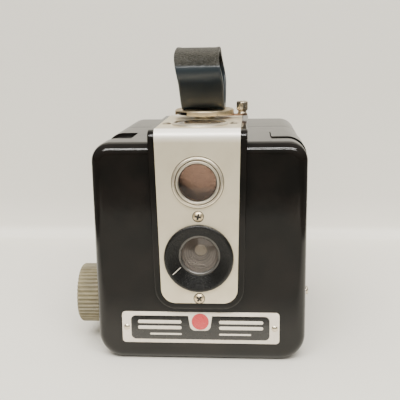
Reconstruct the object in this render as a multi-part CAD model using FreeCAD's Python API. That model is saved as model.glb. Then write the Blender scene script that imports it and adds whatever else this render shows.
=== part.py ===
import FreeCAD, Part

import math
import os

# Roll-film box camera. Millimetres. The origin is the centre of the base, the lens looks along -Y,
# +X is to the right for someone facing the lens, and +Z is up.

# ---- driving dimensions: body -------------------------------------------------------------------
WIDTH = 89.0
DEPTH = 104.0
HEIGHT = 94.2
WALL = 2.4
CORNER_R = 8.0
FOOT_CORNER_R = 11.0
FACE_R = 5.5
FRONT_Y = -DEPTH / 2
BACK_Y = DEPTH / 2
SPLIT_Y = 8.0
SPLIT_GAP = 0.3
LIP_LENGTH = 3.0
LIP_INSET = 1.3

# ---- driving dimensions: raised housing and faceplate -------------------------------------------
HOUSING_FRONT_Y = FRONT_Y - 2.9
HOUSING_TOP_Z = 99.6
PLATE_THICK = 0.8
PLATE_FRONT_Y = HOUSING_FRONT_Y - 0.3
PLATE_TOP_Z = 100.0
PLATE_BEND_R = 3.6
PLATE_TOP_HALF = 17.5
PLATE_LOW_HALF = 15.8
PLATE_BOTTOM_Z = 27.3
PLATE_CORNER_R = 6.0
PLATE_GAP = 0.25
PLATE_END_Y = 5.0
SURROUND = 2.7

# ---- driving dimensions: optics -----------------------------------------------------------------
LENS_Z = 46.8
BEZEL_R = 14.4
BEZEL_FRONT_Y = PLATE_FRONT_Y - 1.4
LENS_RING_R = 8.7
LENS_FACE_Y = BEZEL_FRONT_Y + 5.3
APERTURE_R = 2.65
APERTURE_Y = LENS_FACE_Y + 8.5
FINDER_Z = 78.6
FINDER_RING_R = 10.45
FINDER_GLASS_R = 7.75
TOP_LENS_Y = FRONT_Y + 16.0
TOP_LENS_R = 10.6
TOP_RIM_R = 12.0
SCREW_ZS = (63.7, 29.1)
SCREW_HEAD_R = 2.15

# ---- driving dimensions: shutter ----------------------------------------------------------------
SHUTTER_X = 10.5
SHUTTER_Z = 38.0
SHUTTER_R = 17.9
SHUTTER_THICK = 0.5
SHUTTER_TURN_DEG = 25.0
BUTTON_TRAVEL = 4.0
DRIVE_ARM = BUTTON_TRAVEL / 2 / math.sin(math.radians(SHUTTER_TURN_DEG / 2))
DRIVE_PIN_X = SHUTTER_X - DRIVE_ARM * math.cos(math.radians(SHUTTER_TURN_DEG / 2))
DRIVE_PIN_Z = SHUTTER_Z + BUTTON_TRAVEL / 2

# ---- driving dimensions: corner buttons ---------------------------------------------------------
BUTTON_INNER_X = 29.6
BUTTON_FRONT_Y = FRONT_Y + 16.0
BUTTON_BACK_Y = FRONT_Y + 36.0
BUTTON_LOW_Z = 78.0
BUTTON_GAP = 0.35
RELEASE_DROP = 1.5

# ---- driving dimensions: film path --------------------------------------------------------------
KNOB_Y = -25.0
KNOB_Z = 20.9
KNOB_R = 13.4
KNOB_IN_X = -46.3
KNOB_OUT_X = -56.8
KNOB_BEVEL = 1.2
KNOB_RIBS = 44
SUPPLY_Y = -6.0
SUPPLY_Z = 79.2
SPOOL_R = 11.6
SPOOL_CORE_R = 4.0
SPOOL_HALF = 32.5
SIDE_X = 33.6
SIDE_THICK = 1.0
GATE_Y = 36.0
GATE_HALF = 28.5
CONE_FRONT_Y = -37.0
ROLLER_R = 3.0
ROLLER_Y = 34.8
ROLLER_HIGH_Z = 80.5
ROLLER_LOW_Z = 13.1

# ---- driving dimensions: handle, latch, contacts, nameplate -------------------------------------
DISC_Y = FRONT_Y + 45.0
DISC_R = 13.6
DISC_LOW_Z = 101.8
DISC_TOP_Z = 104.2
LATCH_ARM_R = 17.4
LATCH_KNOB_R = 2.65
LATCH_KNOB_TOP_Z = 107.5
STRAP_HALF = 9.4
STRAP_THICK = 2.2
STRAP_TOP_Z = 132.0
CONTACT_Y = FRONT_Y + 50.0
SOCKET_Z = 34.6
STUD_Z = 14.6
NAME_HALF = 33.45
NAME_LOW_Z = 8.35
NAME_TOP_Z = 22.2
NAME_PIN_X = 31.45
WINDOW_Z = 46.8
WINDOW_R = 7.5

# ---- derived and secondary dimensions -----------------------------------------------------------
RIVET_X = 14.5
RIVET_Y = FRONT_Y + 18.5
FINDER_BOX_HALF = 13.0
FINDER_BOX_FRONT_Y = FRONT_Y
FINDER_BOX_BACK_Y = -23.0
FINDER_BOX_LOW_Z = 65.4
FINDER_BOX_TOP_Z = 96.8
SHUTTER_PLATE_Y = APERTURE_Y
DISC_FRONT_Y = SHUTTER_PLATE_Y + 1.1
DISC_BACK_Y = DISC_FRONT_Y + SHUTTER_THICK
LINK_FRONT_Y = DISC_BACK_Y + 0.5
LINK_BACK_Y = LINK_FRONT_Y + 0.8
LINK_MID_X = -34.2
SPRING_SEAT_Z = 24.0
PLATE_SCREWS = ((-25.0, 27.5), (28.5, 25.5), (-25.0, 61.0), (28.5, 61.0))
LINK_STEM_X = -(WIDTH / 2 - WALL - 0.4)
TONGUE_HALF = 3.5
TONGUE_LOW_Z = PLATE_TOP_Z + 0.25
TONGUE_TOP_Z = TONGUE_LOW_Z + 0.6
ARM_LOW_Z = TONGUE_TOP_Z + 0.2
ARM_TOP_Z = ARM_LOW_Z + 0.6
CATCH_PIN_R = 1.2
CATCH_REACH = 8.6
CATCH_RIVET_YS = (16.0, 23.0)
ROOF = 0.8
SIDE_FACE_X = WIDTH / 2
SOCKET_HOLE_R = 1.6
NAME_THICK = 0.6
ENAMEL_THICK = 0.15


def box(x0, x1, y0, y1, z0, z1):
    return Part.makeBox(x1 - x0, y1 - y0, z1 - z0, FreeCAD.Vector(x0, y0, z0))


def rod_x(y, z, r, x0, x1):
    return Part.makeCylinder(r, x1 - x0, FreeCAD.Vector(x0, y, z), FreeCAD.Vector(1, 0, 0))


def rod_y(x, z, r, y0, y1):
    return Part.makeCylinder(r, y1 - y0, FreeCAD.Vector(x, y0, z), FreeCAD.Vector(0, 1, 0))


def rod_z(x, y, r, z0, z1):
    return Part.makeCylinder(r, z1 - z0, FreeCAD.Vector(x, y, z0))


def prism(points, sweep):
    """A closed polygon of 3-D points swept along a vector."""
    face = Part.Face(Part.makePolygon(list(points) + [points[0]]))
    return face.extrude(sweep)


def prism_x(points_yz, x0, x1):
    return prism([FreeCAD.Vector(x0, y, z) for y, z in points_yz], FreeCAD.Vector(x1 - x0, 0, 0))


def prism_y(points_xz, y0, y1):
    return prism([FreeCAD.Vector(x, y0, z) for x, z in points_xz], FreeCAD.Vector(0, y1 - y0, 0))


def along(shape, axis):
    """The straight edges that run parallel to an axis."""
    picked = []
    for edge in shape.Edges:
        tangent = edge.tangentAt(edge.FirstParameter)
        if edge.Curve.TypeId == "Part::GeomLine" and abs(tangent.dot(axis)) > 0.999:
            picked.append(edge)
    return picked


def on_plane_y(shape, y):
    """The edges that lie in the plane at height y along Y."""
    return [e for e in shape.Edges if all(abs(v.Y - y) < 1e-4 for v in e.Vertexes)]


def revolve_y(points_ry, x, z):
    """A ring from a closed outline of (radius, y) points, turned about a line along Y."""
    centre = FreeCAD.Vector(x, 0, z)
    outline = [FreeCAD.Vector(x + r, y, z) for r, y in points_ry]
    face = Part.Face(Part.makePolygon(outline + [outline[0]]))
    return face.revolve(centre, FreeCAD.Vector(0, 1, 0), 360)


def revolve_z(points_rz, x, y):
    outline = [FreeCAD.Vector(x + r, y, z) for r, z in points_rz]
    face = Part.Face(Part.makePolygon(outline + [outline[0]]))
    return face.revolve(FreeCAD.Vector(x, y, 0), FreeCAD.Vector(0, 0, 1), 360)


def dome_y(x, z, r, y_base, rise):
    """A shallow cap whose rim is at y_base and whose crown stands out towards -Y."""
    ball = (r * r + rise * rise) / (2 * rise)
    sphere = Part.makeSphere(ball, FreeCAD.Vector(x, y_base - rise + ball, z))
    return sphere.common(rod_y(x, z, r, y_base - rise - 0.1, y_base))


def dome_z(x, y, r, z_base, rise):
    ball = (r * r + rise * rise) / (2 * rise)
    sphere = Part.makeSphere(ball, FreeCAD.Vector(x, y, z_base + rise - ball))
    return sphere.common(rod_z(x, y, r, z_base, z_base + rise + 0.1))


def ring_sector(x, y, r_in, r_out, z0, z1, start_deg, sweep_deg):
    """Part of a flat ring about a line along Z."""
    height = z1 - z0
    base = FreeCAD.Vector(x, y, z0)
    up = FreeCAD.Vector(0, 0, 1)
    outer = Part.makeCylinder(r_out, height, base, up, sweep_deg)
    inner = Part.makeCylinder(r_in, height + 2, base - FreeCAD.Vector(0, 0, 1), up)
    ring = outer.cut(inner)
    ring.rotate(base, up, start_deg)
    return ring


def compound(shapes):
    return Part.makeCompound(list(shapes))


# ---- body shells --------------------------------------------------------------------------------

def rounded_block(inset, y0, y1, face_y, face_r):
    """The body's rounded section between y0 and y1, with one end face's outline rounded over."""
    half = WIDTH / 2 - inset
    block = box(-half, half, y0, y1, inset, HEIGHT - inset)
    long_edges = along(block, FreeCAD.Vector(0, 1, 0))
    block = block.makeFillet(CORNER_R - inset, [e for e in long_edges if e.Vertexes[0].Z > LENS_Z])
    foot_edges = [e for e in along(block, FreeCAD.Vector(0, 1, 0)) if e.Vertexes[0].Z < 1.0 + inset]
    block = block.makeFillet(FOOT_CORNER_R - inset, foot_edges)
    if face_y is None:
        return block
    return block.makeFillet(face_r, on_plane_y(block, face_y))


def panel_outline(grow, y0, y1):
    """The faceplate's tapered front outline, grown sideways and down, as a solid along Y."""
    top_z = HOUSING_TOP_Z + 6
    low = PLATE_BOTTOM_Z - grow
    points = [
        (-PLATE_LOW_HALF - grow, low),
        (PLATE_LOW_HALF + grow, low),
        (PLATE_TOP_HALF + grow, top_z),
        (-PLATE_TOP_HALF - grow, top_z),
    ]
    solid = prism_y(points, y0, y1)
    low_edges = [e for e in along(solid, FreeCAD.Vector(0, 1, 0)) if e.Vertexes[0].Z < LENS_Z]
    return solid.makeFillet(PLATE_CORNER_R + grow, low_edges)


def housing_side(front_y, top_z, bend_r, end_y, low_z):
    """Side view of the raised housing: up the front, round the bend and back along the top."""
    long_run = box(-40, 40, front_y, end_y, low_z, top_z)
    front_top = [
        e for e in along(long_run, FreeCAD.Vector(1, 0, 0))
        if e.Vertexes[0].Y < front_y + 1 and e.Vertexes[0].Z > top_z - 1
    ]
    return long_run.makeFillet(bend_r, front_top)


def raised_housing():
    side = housing_side(HOUSING_FRONT_Y, HOUSING_TOP_Z, PLATE_BEND_R + 0.2, SPLIT_Y - SPLIT_GAP, 15)
    housing = side.common(panel_outline(SURROUND, HOUSING_FRONT_Y - 1, SPLIT_Y))
    recess = housing_side(
        PLATE_FRONT_Y + PLATE_THICK, PLATE_TOP_Z - PLATE_THICK, PLATE_BEND_R - PLATE_THICK,
        PLATE_END_Y + PLATE_GAP, 15,
    )
    inside = panel_outline(PLATE_GAP, HOUSING_FRONT_Y - 2, PLATE_END_Y + PLATE_GAP)
    return housing.cut(inside.cut(recess))


def button_slot(side):
    """The corner cut-out that a button rides in, on the side given by the sign."""
    x0 = BUTTON_INNER_X
    upper = box(x0, WIDTH, BUTTON_FRONT_Y, BUTTON_BACK_Y, HEIGHT - WALL - 2.2, HEIGHT + 1)
    lower = box(
        WIDTH / 2 - WALL - 2.2, WIDTH, BUTTON_FRONT_Y, BUTTON_BACK_Y,
        BUTTON_LOW_Z - BUTTON_TRAVEL - RELEASE_DROP - 0.7, HEIGHT,
    )
    slot = upper.fuse(lower)
    return slot if side > 0 else slot.mirror(FreeCAD.Vector(0, 0, 0), FreeCAD.Vector(1, 0, 0))


def front_shell():
    end_y = SPLIT_Y - SPLIT_GAP
    outer = rounded_block(0, FRONT_Y, end_y, FRONT_Y, FACE_R)
    shell = outer.fuse(raised_housing())
    lip = rounded_block(LIP_INSET, end_y - 1, end_y + LIP_LENGTH, None, 0)
    shell = shell.fuse(lip)
    shell = shell.cut(rounded_block(WALL, FRONT_Y + WALL, SPLIT_Y + 20, FRONT_Y + WALL, 3.0))
    shell = shell.cut(finder_cavity())
    shell = shell.cut(rod_y(0, LENS_Z, BEZEL_R - 0.8, HOUSING_FRONT_Y - 1, FRONT_Y + WALL + 1))
    shell = shell.cut(rod_y(0, FINDER_Z, FINDER_GLASS_R + 0.6, HOUSING_FRONT_Y - 1, FRONT_Y + 6))
    shell = shell.cut(rod_z(0, TOP_LENS_Y, TOP_LENS_R - 0.4, HEIGHT - 6, PLATE_TOP_Z))
    for z in SCREW_ZS:
        shell = shell.cut(rod_y(0, z, 1.05, HOUSING_FRONT_Y - 1, FRONT_Y + WALL + 1))
    for side in (-1, 1):
        shell = shell.cut(button_slot(side))
    shell = shell.cut(rod_x(KNOB_Y, KNOB_Z, 4.0, -WIDTH, -WIDTH / 2 + WALL + 1))
    for z in (SOCKET_Z, STUD_Z):
        shell = shell.cut(rod_x(CONTACT_Y, z, 2.6, WIDTH / 2 - WALL - 1, WIDTH))
    return shell.cut(rod_z(0, DISC_Y, 1.6, HEIGHT - WALL - 1, HOUSING_TOP_Z + 1))


def finder_cavity():
    """The hollow behind the faceplate that holds the finder's box."""
    return box(-13.4, 13.4, FRONT_Y - 0.3, -22.7, 65.0, 97.2)


def rear_shell():
    shell = rounded_block(0, SPLIT_Y, BACK_Y, BACK_Y, FACE_R)
    shell = shell.cut(rounded_block(WALL, SPLIT_Y - 1, BACK_Y - WALL, BACK_Y - WALL, 3.0))
    rebate = LIP_INSET - SPLIT_GAP
    shell = shell.cut(rounded_block(rebate, SPLIT_Y - 1, SPLIT_Y + LIP_LENGTH, None, 0))
    shell = shell.cut(rod_y(0, WINDOW_Z, WINDOW_R, BACK_Y - WALL - 1, BACK_Y + 1))
    for y in CATCH_RIVET_YS:
        shell = shell.cut(rod_z(0, y, 1.2, HEIGHT - WALL - 1, HEIGHT + 1))
    return shell


# ---- faceplate and its fixings ------------------------------------------------------------------

def faceplate():
    outer = housing_side(PLATE_FRONT_Y, PLATE_TOP_Z, PLATE_BEND_R, PLATE_END_Y, 20)
    inner = housing_side(
        PLATE_FRONT_Y + PLATE_THICK, PLATE_TOP_Z - PLATE_THICK, PLATE_BEND_R - PLATE_THICK,
        PLATE_END_Y + 1, 19,
    )
    sheet = outer.cut(inner).common(panel_outline(0, PLATE_FRONT_Y - 1, PLATE_END_Y + 1))
    sheet = sheet.cut(rod_y(0, LENS_Z, BEZEL_R - 0.8, PLATE_FRONT_Y - 1, FRONT_Y))
    sheet = sheet.cut(rod_y(0, FINDER_Z, FINDER_GLASS_R + 0.6, PLATE_FRONT_Y - 1, FRONT_Y))
    sheet = sheet.cut(rod_z(0, TOP_LENS_Y, TOP_LENS_R - 0.4, HEIGHT, PLATE_TOP_Z + 1))
    sheet = sheet.cut(rod_z(0, DISC_Y, 1.6, HEIGHT, PLATE_TOP_Z + 1))
    for z in SCREW_ZS:
        sheet = sheet.cut(rod_y(0, z, 1.05, PLATE_FRONT_Y - 1, FRONT_Y))
    for x in (-RIVET_X, RIVET_X):
        sheet = sheet.cut(rod_z(x, RIVET_Y, 0.9, HEIGHT, PLATE_TOP_Z + 1))
    return sheet


def cross_screw(z):
    """A domed cross-recess screw, its head on the faceplate and its shank in the body."""
    head = dome_y(0, z, SCREW_HEAD_R, PLATE_FRONT_Y, 1.1)
    shank = rod_y(0, z, 1.05, PLATE_FRONT_Y, FRONT_Y + WALL + 1)
    slot_a = box(-1.3, 1.3, PLATE_FRONT_Y - 1.5, PLATE_FRONT_Y - 0.35, z - 0.3, z + 0.3)
    slot_b = box(-0.3, 0.3, PLATE_FRONT_Y - 1.5, PLATE_FRONT_Y - 0.35, z - 1.3, z + 1.3)
    return head.fuse(shank).cut(slot_a.fuse(slot_b))


def plate_rivet(x):
    head = dome_z(x, RIVET_Y, 1.85, PLATE_TOP_Z, 0.5)
    return head.fuse(rod_z(x, RIVET_Y, 0.9, PLATE_TOP_Z - PLATE_THICK, PLATE_TOP_Z))


# ---- finder -------------------------------------------------------------------------------------

def finder_bezel():
    y = PLATE_FRONT_Y
    glass = FINDER_GLASS_R
    outline = [
        (glass, y), (glass, y - 0.5), (glass + 0.5, y - 1.1), (glass + 0.9, y - 1.1),
        (glass + 1.2, y - 0.6), (glass + 1.5, y - 0.6), (glass + 1.9, y - 1.0),
        (FINDER_RING_R - 0.4, y - 1.0), (FINDER_RING_R, y - 0.6), (FINDER_RING_R, y),
    ]
    return revolve_y(outline, 0, FINDER_Z)


def finder_front_lens():
    body = rod_y(0, FINDER_Z, FINDER_GLASS_R, PLATE_FRONT_Y, PLATE_FRONT_Y + 1.6)
    return body.fuse(dome_y(0, FINDER_Z, FINDER_GLASS_R - 0.1, PLATE_FRONT_Y, 0.5))


def finder_housing():
    """A thin-walled box, open at the front window and at the top lens."""
    wall = 0.8
    outer = box(
        -FINDER_BOX_HALF, FINDER_BOX_HALF, FINDER_BOX_FRONT_Y, FINDER_BOX_BACK_Y,
        FINDER_BOX_LOW_Z, FINDER_BOX_TOP_Z,
    )
    inner = box(
        -FINDER_BOX_HALF + wall, FINDER_BOX_HALF - wall, FINDER_BOX_FRONT_Y + wall,
        FINDER_BOX_BACK_Y - wall, FINDER_BOX_LOW_Z + wall, FINDER_BOX_TOP_Z - wall,
    )
    case = outer.cut(inner)
    case = case.cut(rod_y(0, FINDER_Z, FINDER_GLASS_R, FRONT_Y - 1, FRONT_Y + 2))
    return case.cut(rod_z(0, TOP_LENS_Y, TOP_LENS_R - 1.0, FINDER_BOX_TOP_Z - 2, FINDER_BOX_TOP_Z + 1))


def finder_mirror():
    """Silvered glass at 45 degrees, turning the view up to the top lens."""
    reach = 11.0
    thick = 1.2
    y = TOP_LENS_Y
    z = FINDER_Z
    points = [
        (y - reach, z - reach), (y + reach, z + reach),
        (y + reach + thick / math.sqrt(2), z + reach - thick / math.sqrt(2)),
        (y - reach + thick / math.sqrt(2), z - reach - thick / math.sqrt(2)),
    ]
    return prism_x(points, -11.5, 11.5)


def finder_top_rim():
    z = PLATE_TOP_Z
    outline = [
        (TOP_LENS_R, z), (TOP_LENS_R, z + 0.9), (TOP_LENS_R + 0.5, z + 1.1),
        (TOP_RIM_R, z + 0.4), (TOP_RIM_R, z),
    ]
    return revolve_z(outline, 0, TOP_LENS_Y)


def finder_top_lens():
    base = rod_z(0, TOP_LENS_Y, TOP_LENS_R, PLATE_TOP_Z, PLATE_TOP_Z + 0.6)
    cap = dome_z(0, TOP_LENS_Y, TOP_LENS_R, PLATE_TOP_Z + 0.6, 1.4)
    stem = rod_z(0, TOP_LENS_Y, TOP_LENS_R - 0.4, FINDER_BOX_TOP_Z + 0.4, PLATE_TOP_Z)
    return base.fuse(cap).fuse(stem)


# ---- taking lens --------------------------------------------------------------------------------

def lens_bezel():
    """A dished ring with stepped ribs down its inner slope, and a spigot into the body."""
    front = BEZEL_FRONT_Y
    steps = 7
    run = (LENS_FACE_Y - front) / steps
    drop = (BEZEL_R - 1.9 - LENS_RING_R) / steps
    outline = [(BEZEL_R, PLATE_FRONT_Y), (BEZEL_R, front + 0.6), (BEZEL_R - 0.6, front)]
    outline.append((BEZEL_R - 1.9, front))
    for i in range(steps):
        radius = BEZEL_R - 1.9 - i * drop
        outline.append((radius, front + (i + 0.75) * run))
        outline.append((radius - drop, front + (i + 1) * run))
    spigot_r = BEZEL_R - 0.9
    outline += [(LENS_RING_R, FRONT_Y + WALL + 1), (spigot_r, FRONT_Y + WALL + 1)]
    outline.append((spigot_r, PLATE_FRONT_Y))
    return revolve_y(outline, 0, LENS_Z)


def lens_retaining_ring():
    y = LENS_FACE_Y
    outline = [(LENS_RING_R, y), (LENS_RING_R, y + 0.8), (7.6, y + 0.8), (7.6, y + 0.4)]
    outline.append((8.0, y))
    return revolve_y(outline, 0, LENS_Z)


def meniscus_lens():
    """Crown-glass meniscus: both faces bulge forwards, and the rear one is the steeper."""
    y = LENS_FACE_Y + 0.8
    rim = rod_y(0, LENS_Z, 8.5, y, y + 1.6)
    hollow = Part.makeSphere(26.0, FreeCAD.Vector(0, y + 0.9 + 26.0, LENS_Z))
    return rim.fuse(dome_y(0, LENS_Z, 7.5, y, 0.7)).cut(hollow)


def lens_barrel():
    """Stepped cone from the lens down to the aperture."""
    front = LENS_FACE_Y + 2.4
    back = APERTURE_Y
    steps = 5
    outline = [(12.6, front + 2.6), (LENS_RING_R - 0.2, front + 2.6), (LENS_RING_R - 0.2, front)]
    outline.append((7.6, front))
    for i in range(steps):
        radius = 7.6 - (i + 1) * (7.6 - 3.4) / steps
        level = front + (i + 0.8) * (back - front) / steps
        outline.append((radius + (7.6 - 3.4) / steps, level))
        outline.append((radius, level))
    outline += [(3.4, back), (12.6, back)]
    return revolve_y(outline, 0, LENS_Z)


# ---- shutter ------------------------------------------------------------------------------------


def shutter_plate():
    """Mounting plate with the round aperture on the lens axis."""
    plate = box(-28.0, 34.0, SHUTTER_PLATE_Y, SHUTTER_PLATE_Y + 0.8, 19.5, 64.0)
    shelf = box(
        LINK_MID_X - 2.0, -27.0, SHUTTER_PLATE_Y, LINK_FRONT_Y + 3.2,
        SPRING_SEAT_Z - 0.8, SPRING_SEAT_Z,
    )
    plate = plate.fuse(shelf)
    plate = plate.cut(rod_y(0, LENS_Z, APERTURE_R, SHUTTER_PLATE_Y - 1, SHUTTER_PLATE_Y + 2))
    plate = plate.cut(rod_y(SHUTTER_X, SHUTTER_Z, 1.5, SHUTTER_PLATE_Y - 1, SHUTTER_PLATE_Y + 2))
    for x, z in PLATE_SCREWS:
        plate = plate.cut(rod_y(x, z, 1.0, SHUTTER_PLATE_Y - 1, SHUTTER_PLATE_Y + 2))
    return plate


def shutter_posts():
    """Four pillars from the shell's front wall to the shutter plate."""
    return [
        rod_y(x, z, 2.4, FRONT_Y + WALL, SHUTTER_PLATE_Y).cut(
            rod_y(x, z, 1.0, SHUTTER_PLATE_Y - 4, SHUTTER_PLATE_Y + 1))
        for x, z in PLATE_SCREWS
    ]


def shutter_screws():
    start = SHUTTER_PLATE_Y - 4
    screws = []
    for x, z in PLATE_SCREWS:
        shank = rod_y(x, z, 1.0, start, SHUTTER_PLATE_Y + 0.8)
        head = rod_y(x, z, 1.9, SHUTTER_PLATE_Y + 0.8, SHUTTER_PLATE_Y + 1.8)
        slot = box(x - 2, x + 2, SHUTTER_PLATE_Y + 1.3, SHUTTER_PLATE_Y + 2, z - 0.3, z + 0.3)
        screws.append(shank.fuse(head).cut(slot))
    return compound(screws)


def shutter_pivot():
    """Shouldered stud that the disc turns on."""
    stud = rod_y(SHUTTER_X, SHUTTER_Z, 1.5, SHUTTER_PLATE_Y, DISC_BACK_Y + 0.1)
    collar = rod_y(SHUTTER_X, SHUTTER_Z, 2.6, SHUTTER_PLATE_Y + 0.8, DISC_FRONT_Y - 0.05)
    head = rod_y(SHUTTER_X, SHUTTER_Z, 2.4, DISC_BACK_Y + 0.1, DISC_BACK_Y + 0.45)
    return stud.fuse(collar).fuse(head)


def shutter_disc():
    """Rotary blade: the slot sits beside the aperture at rest and passes it as the disc turns."""
    disc = rod_y(SHUTTER_X, SHUTTER_Z, SHUTTER_R, DISC_FRONT_Y, DISC_BACK_Y)
    disc = disc.cut(rod_y(SHUTTER_X, SHUTTER_Z, 1.55, DISC_FRONT_Y - 1, DISC_BACK_Y + 1))
    reach = math.hypot(SHUTTER_X, LENS_Z - SHUTTER_Z)
    axis_deg = math.degrees(math.atan2(LENS_Z - SHUTTER_Z, -SHUTTER_X))
    angle = math.radians(axis_deg - SHUTTER_TURN_DEG)
    hole = rod_y(
        SHUTTER_X + reach * math.cos(angle), SHUTTER_Z + reach * math.sin(angle),
        APERTURE_R + 0.1, DISC_FRONT_Y - 1, DISC_BACK_Y + 1,
    )
    return disc.cut(hole)


def shutter_drive_pin():
    return rod_y(DRIVE_PIN_X, DRIVE_PIN_Z, 0.7, DISC_BACK_Y, LINK_BACK_Y + 0.4)


def shutter_spring():
    """Hairpin spring on its post, holding the disc against its stop."""
    x0 = SHUTTER_X + SHUTTER_R + 3.1
    z0 = 53.0
    coil = revolve_y(
        [(2.0, DISC_FRONT_Y - 0.2), (2.0, DISC_BACK_Y + 0.4), (1.4, DISC_BACK_Y + 0.4),
         (1.4, DISC_FRONT_Y - 0.2)], x0, z0,
    )
    leg = box(x0 - 2.0, x0 - 1.4, DISC_FRONT_Y, DISC_BACK_Y, SHUTTER_Z, z0)
    post = rod_y(x0, z0, 1.4, SHUTTER_PLATE_Y + 0.8, DISC_BACK_Y + 0.6)
    return coil.fuse(leg).fuse(post)


def release_link():
    """Strip from the release button down to a fork round the disc's drive pin."""
    x0 = LINK_MID_X - 1.8
    x1 = LINK_MID_X + 1.8
    low_z = DRIVE_PIN_Z - 2.0
    upright = box(x0, x1, LINK_FRONT_Y, LINK_BACK_Y, low_z, 70.0)
    bar = box(x0, DRIVE_PIN_X + 2.2, LINK_FRONT_Y, LINK_BACK_Y, low_z, DRIVE_PIN_Z + 2.0)
    slot = box(
        DRIVE_PIN_X - 1.2, DRIVE_PIN_X + 1.2, LINK_FRONT_Y - 1, LINK_BACK_Y + 1,
        DRIVE_PIN_Z - 0.95, DRIVE_PIN_Z + 0.95,
    )
    pad = box(x0, x1, LINK_FRONT_Y, LINK_FRONT_Y + 3.2, low_z, low_z + 0.8)
    foot = box(x0, x1, LINK_FRONT_Y, BUTTON_FRONT_Y + 6, 69.2, 70.0)
    arm = box(LINK_STEM_X, x1, BUTTON_FRONT_Y + 4.5, BUTTON_FRONT_Y + 6, 69.2, 70.0)
    return upright.fuse(bar).cut(slot).fuse(pad).fuse(foot).fuse(arm)


def release_spring():
    """Coil spring between the plate's shelf and the link's pad, which lifts the button."""
    wire_r = 0.22
    coil_r = 1.2
    low = SPRING_SEAT_Z + wire_r
    high = DRIVE_PIN_Z - 2.0 - wire_r
    helix = Part.makeHelix((high - low) / 7, high - low, coil_r)
    profile = Part.Wire(Part.makeCircle(
        wire_r, FreeCAD.Vector(coil_r, 0, 0), FreeCAD.Vector(0, 1, 0.2)))
    coil = Part.Wire(helix).makePipeShell([profile], True, True)
    coil.translate(FreeCAD.Vector(LINK_MID_X, LINK_FRONT_Y + 1.6, low))
    return coil


def time_link():
    """Strip under the long-exposure button, which holds the shutter open when raised."""
    x0 = -LINK_MID_X - 1.8
    x1 = -LINK_MID_X + 1.8
    upright = box(x0, x1, LINK_FRONT_Y, LINK_BACK_Y, 56.0, 70.0)
    foot = box(x0, x1, LINK_FRONT_Y, BUTTON_FRONT_Y + 6, 69.2, 70.0)
    arm = box(x0, -LINK_STEM_X, BUTTON_FRONT_Y + 4.5, BUTTON_FRONT_Y + 6, 69.2, 70.0)
    return upright.fuse(foot).fuse(arm)


def corner_button(side, drop, ribs):
    """A block that wraps over the top corner of the body and slides up or down in its slot."""
    half = WIDTH / 2
    y0 = BUTTON_FRONT_Y + BUTTON_GAP
    y1 = BUTTON_BACK_Y - BUTTON_GAP
    x0 = BUTTON_INNER_X + BUTTON_GAP
    corner = rounded_block(0, y0, y1, None, 0)
    inner = rounded_block(WALL, y0 - 1, y1 + 1, None, 0)
    skin = corner.cut(inner)
    keep = box(x0, half + 1, y0 - 1, y1 + 1, BUTTON_LOW_Z, HEIGHT + 1)
    skin = skin.common(keep)
    stem = box(half - WALL - 1.8, half - WALL, y0 + 4, y1 - 8, 70.0 + drop, HEIGHT - 8)
    button = skin.fuse(stem)
    for i in range(ribs):
        y = y0 + 1.4 + i * 2.7
        groove = box(x0 - 1, half + 1, y, y + 0.9, BUTTON_LOW_Z - 1, HEIGHT + 1)
        groove = groove.cut(rounded_block(0.6, y - 1, y + 2, None, 0))
        button = button.cut(groove)
    button.translate(FreeCAD.Vector(0, 0, -drop))
    if side > 0:
        return button
    return button.mirror(FreeCAD.Vector(0, 0, 0), FreeCAD.Vector(1, 0, 0))


# ---- winding and film path ----------------------------------------------------------------------

def winding_knob():
    """Knob with fine ribs round its skirt, a bevelled outer rim and a shallow dished face."""
    points = []
    for i in range(KNOB_RIBS):
        turn = 2 * math.pi / KNOB_RIBS
        for part, radius in ((0.0, KNOB_R), (0.38, KNOB_R), (0.55, KNOB_R - 0.6), (0.83, KNOB_R - 0.6)):
            angle = (i + part) * turn
            y = KNOB_Y + radius * math.cos(angle)
            points.append((y, KNOB_Z + radius * math.sin(angle)))
    knob = prism_x(points, KNOB_OUT_X, KNOB_IN_X)
    crown = Part.makeCone(
        KNOB_R - KNOB_BEVEL, KNOB_R + 0.01, KNOB_BEVEL, FreeCAD.Vector(KNOB_OUT_X, KNOB_Y, KNOB_Z),
        FreeCAD.Vector(1, 0, 0),
    )
    straight = rod_x(KNOB_Y, KNOB_Z, KNOB_R + 0.01, KNOB_OUT_X + KNOB_BEVEL, KNOB_IN_X)
    knob = knob.common(crown.fuse(straight))
    knob = knob.cut(rod_x(KNOB_Y, KNOB_Z, KNOB_R - 4.0, KNOB_OUT_X - 1, KNOB_OUT_X + 0.8))
    return knob.cut(rod_x(KNOB_Y, KNOB_Z, 2.5, KNOB_OUT_X + 3, KNOB_IN_X + 1))


def knob_collar():
    """Pale washer between the knob and the body."""
    return rod_x(KNOB_Y, KNOB_Z, 9.5, KNOB_IN_X, -WIDTH / 2 - 0.3).cut(
        rod_x(KNOB_Y, KNOB_Z, 2.5, -WIDTH, 0))


def knob_shaft():
    return rod_x(KNOB_Y, KNOB_Z, 2.5, KNOB_OUT_X + 3, -SPOOL_HALF - 2.4)


def winding_key():
    """Flat blade on the shaft's end that fits the spool's slot."""
    hub = rod_x(KNOB_Y, KNOB_Z, 3.2, -SPOOL_HALF - 2.4, -SPOOL_HALF - 0.1)
    return hub.fuse(box(
        -SPOOL_HALF - 0.1, -SPOOL_HALF + 4.0, KNOB_Y - 2.6, KNOB_Y + 2.6, KNOB_Z - 0.5, KNOB_Z + 0.5))


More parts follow.
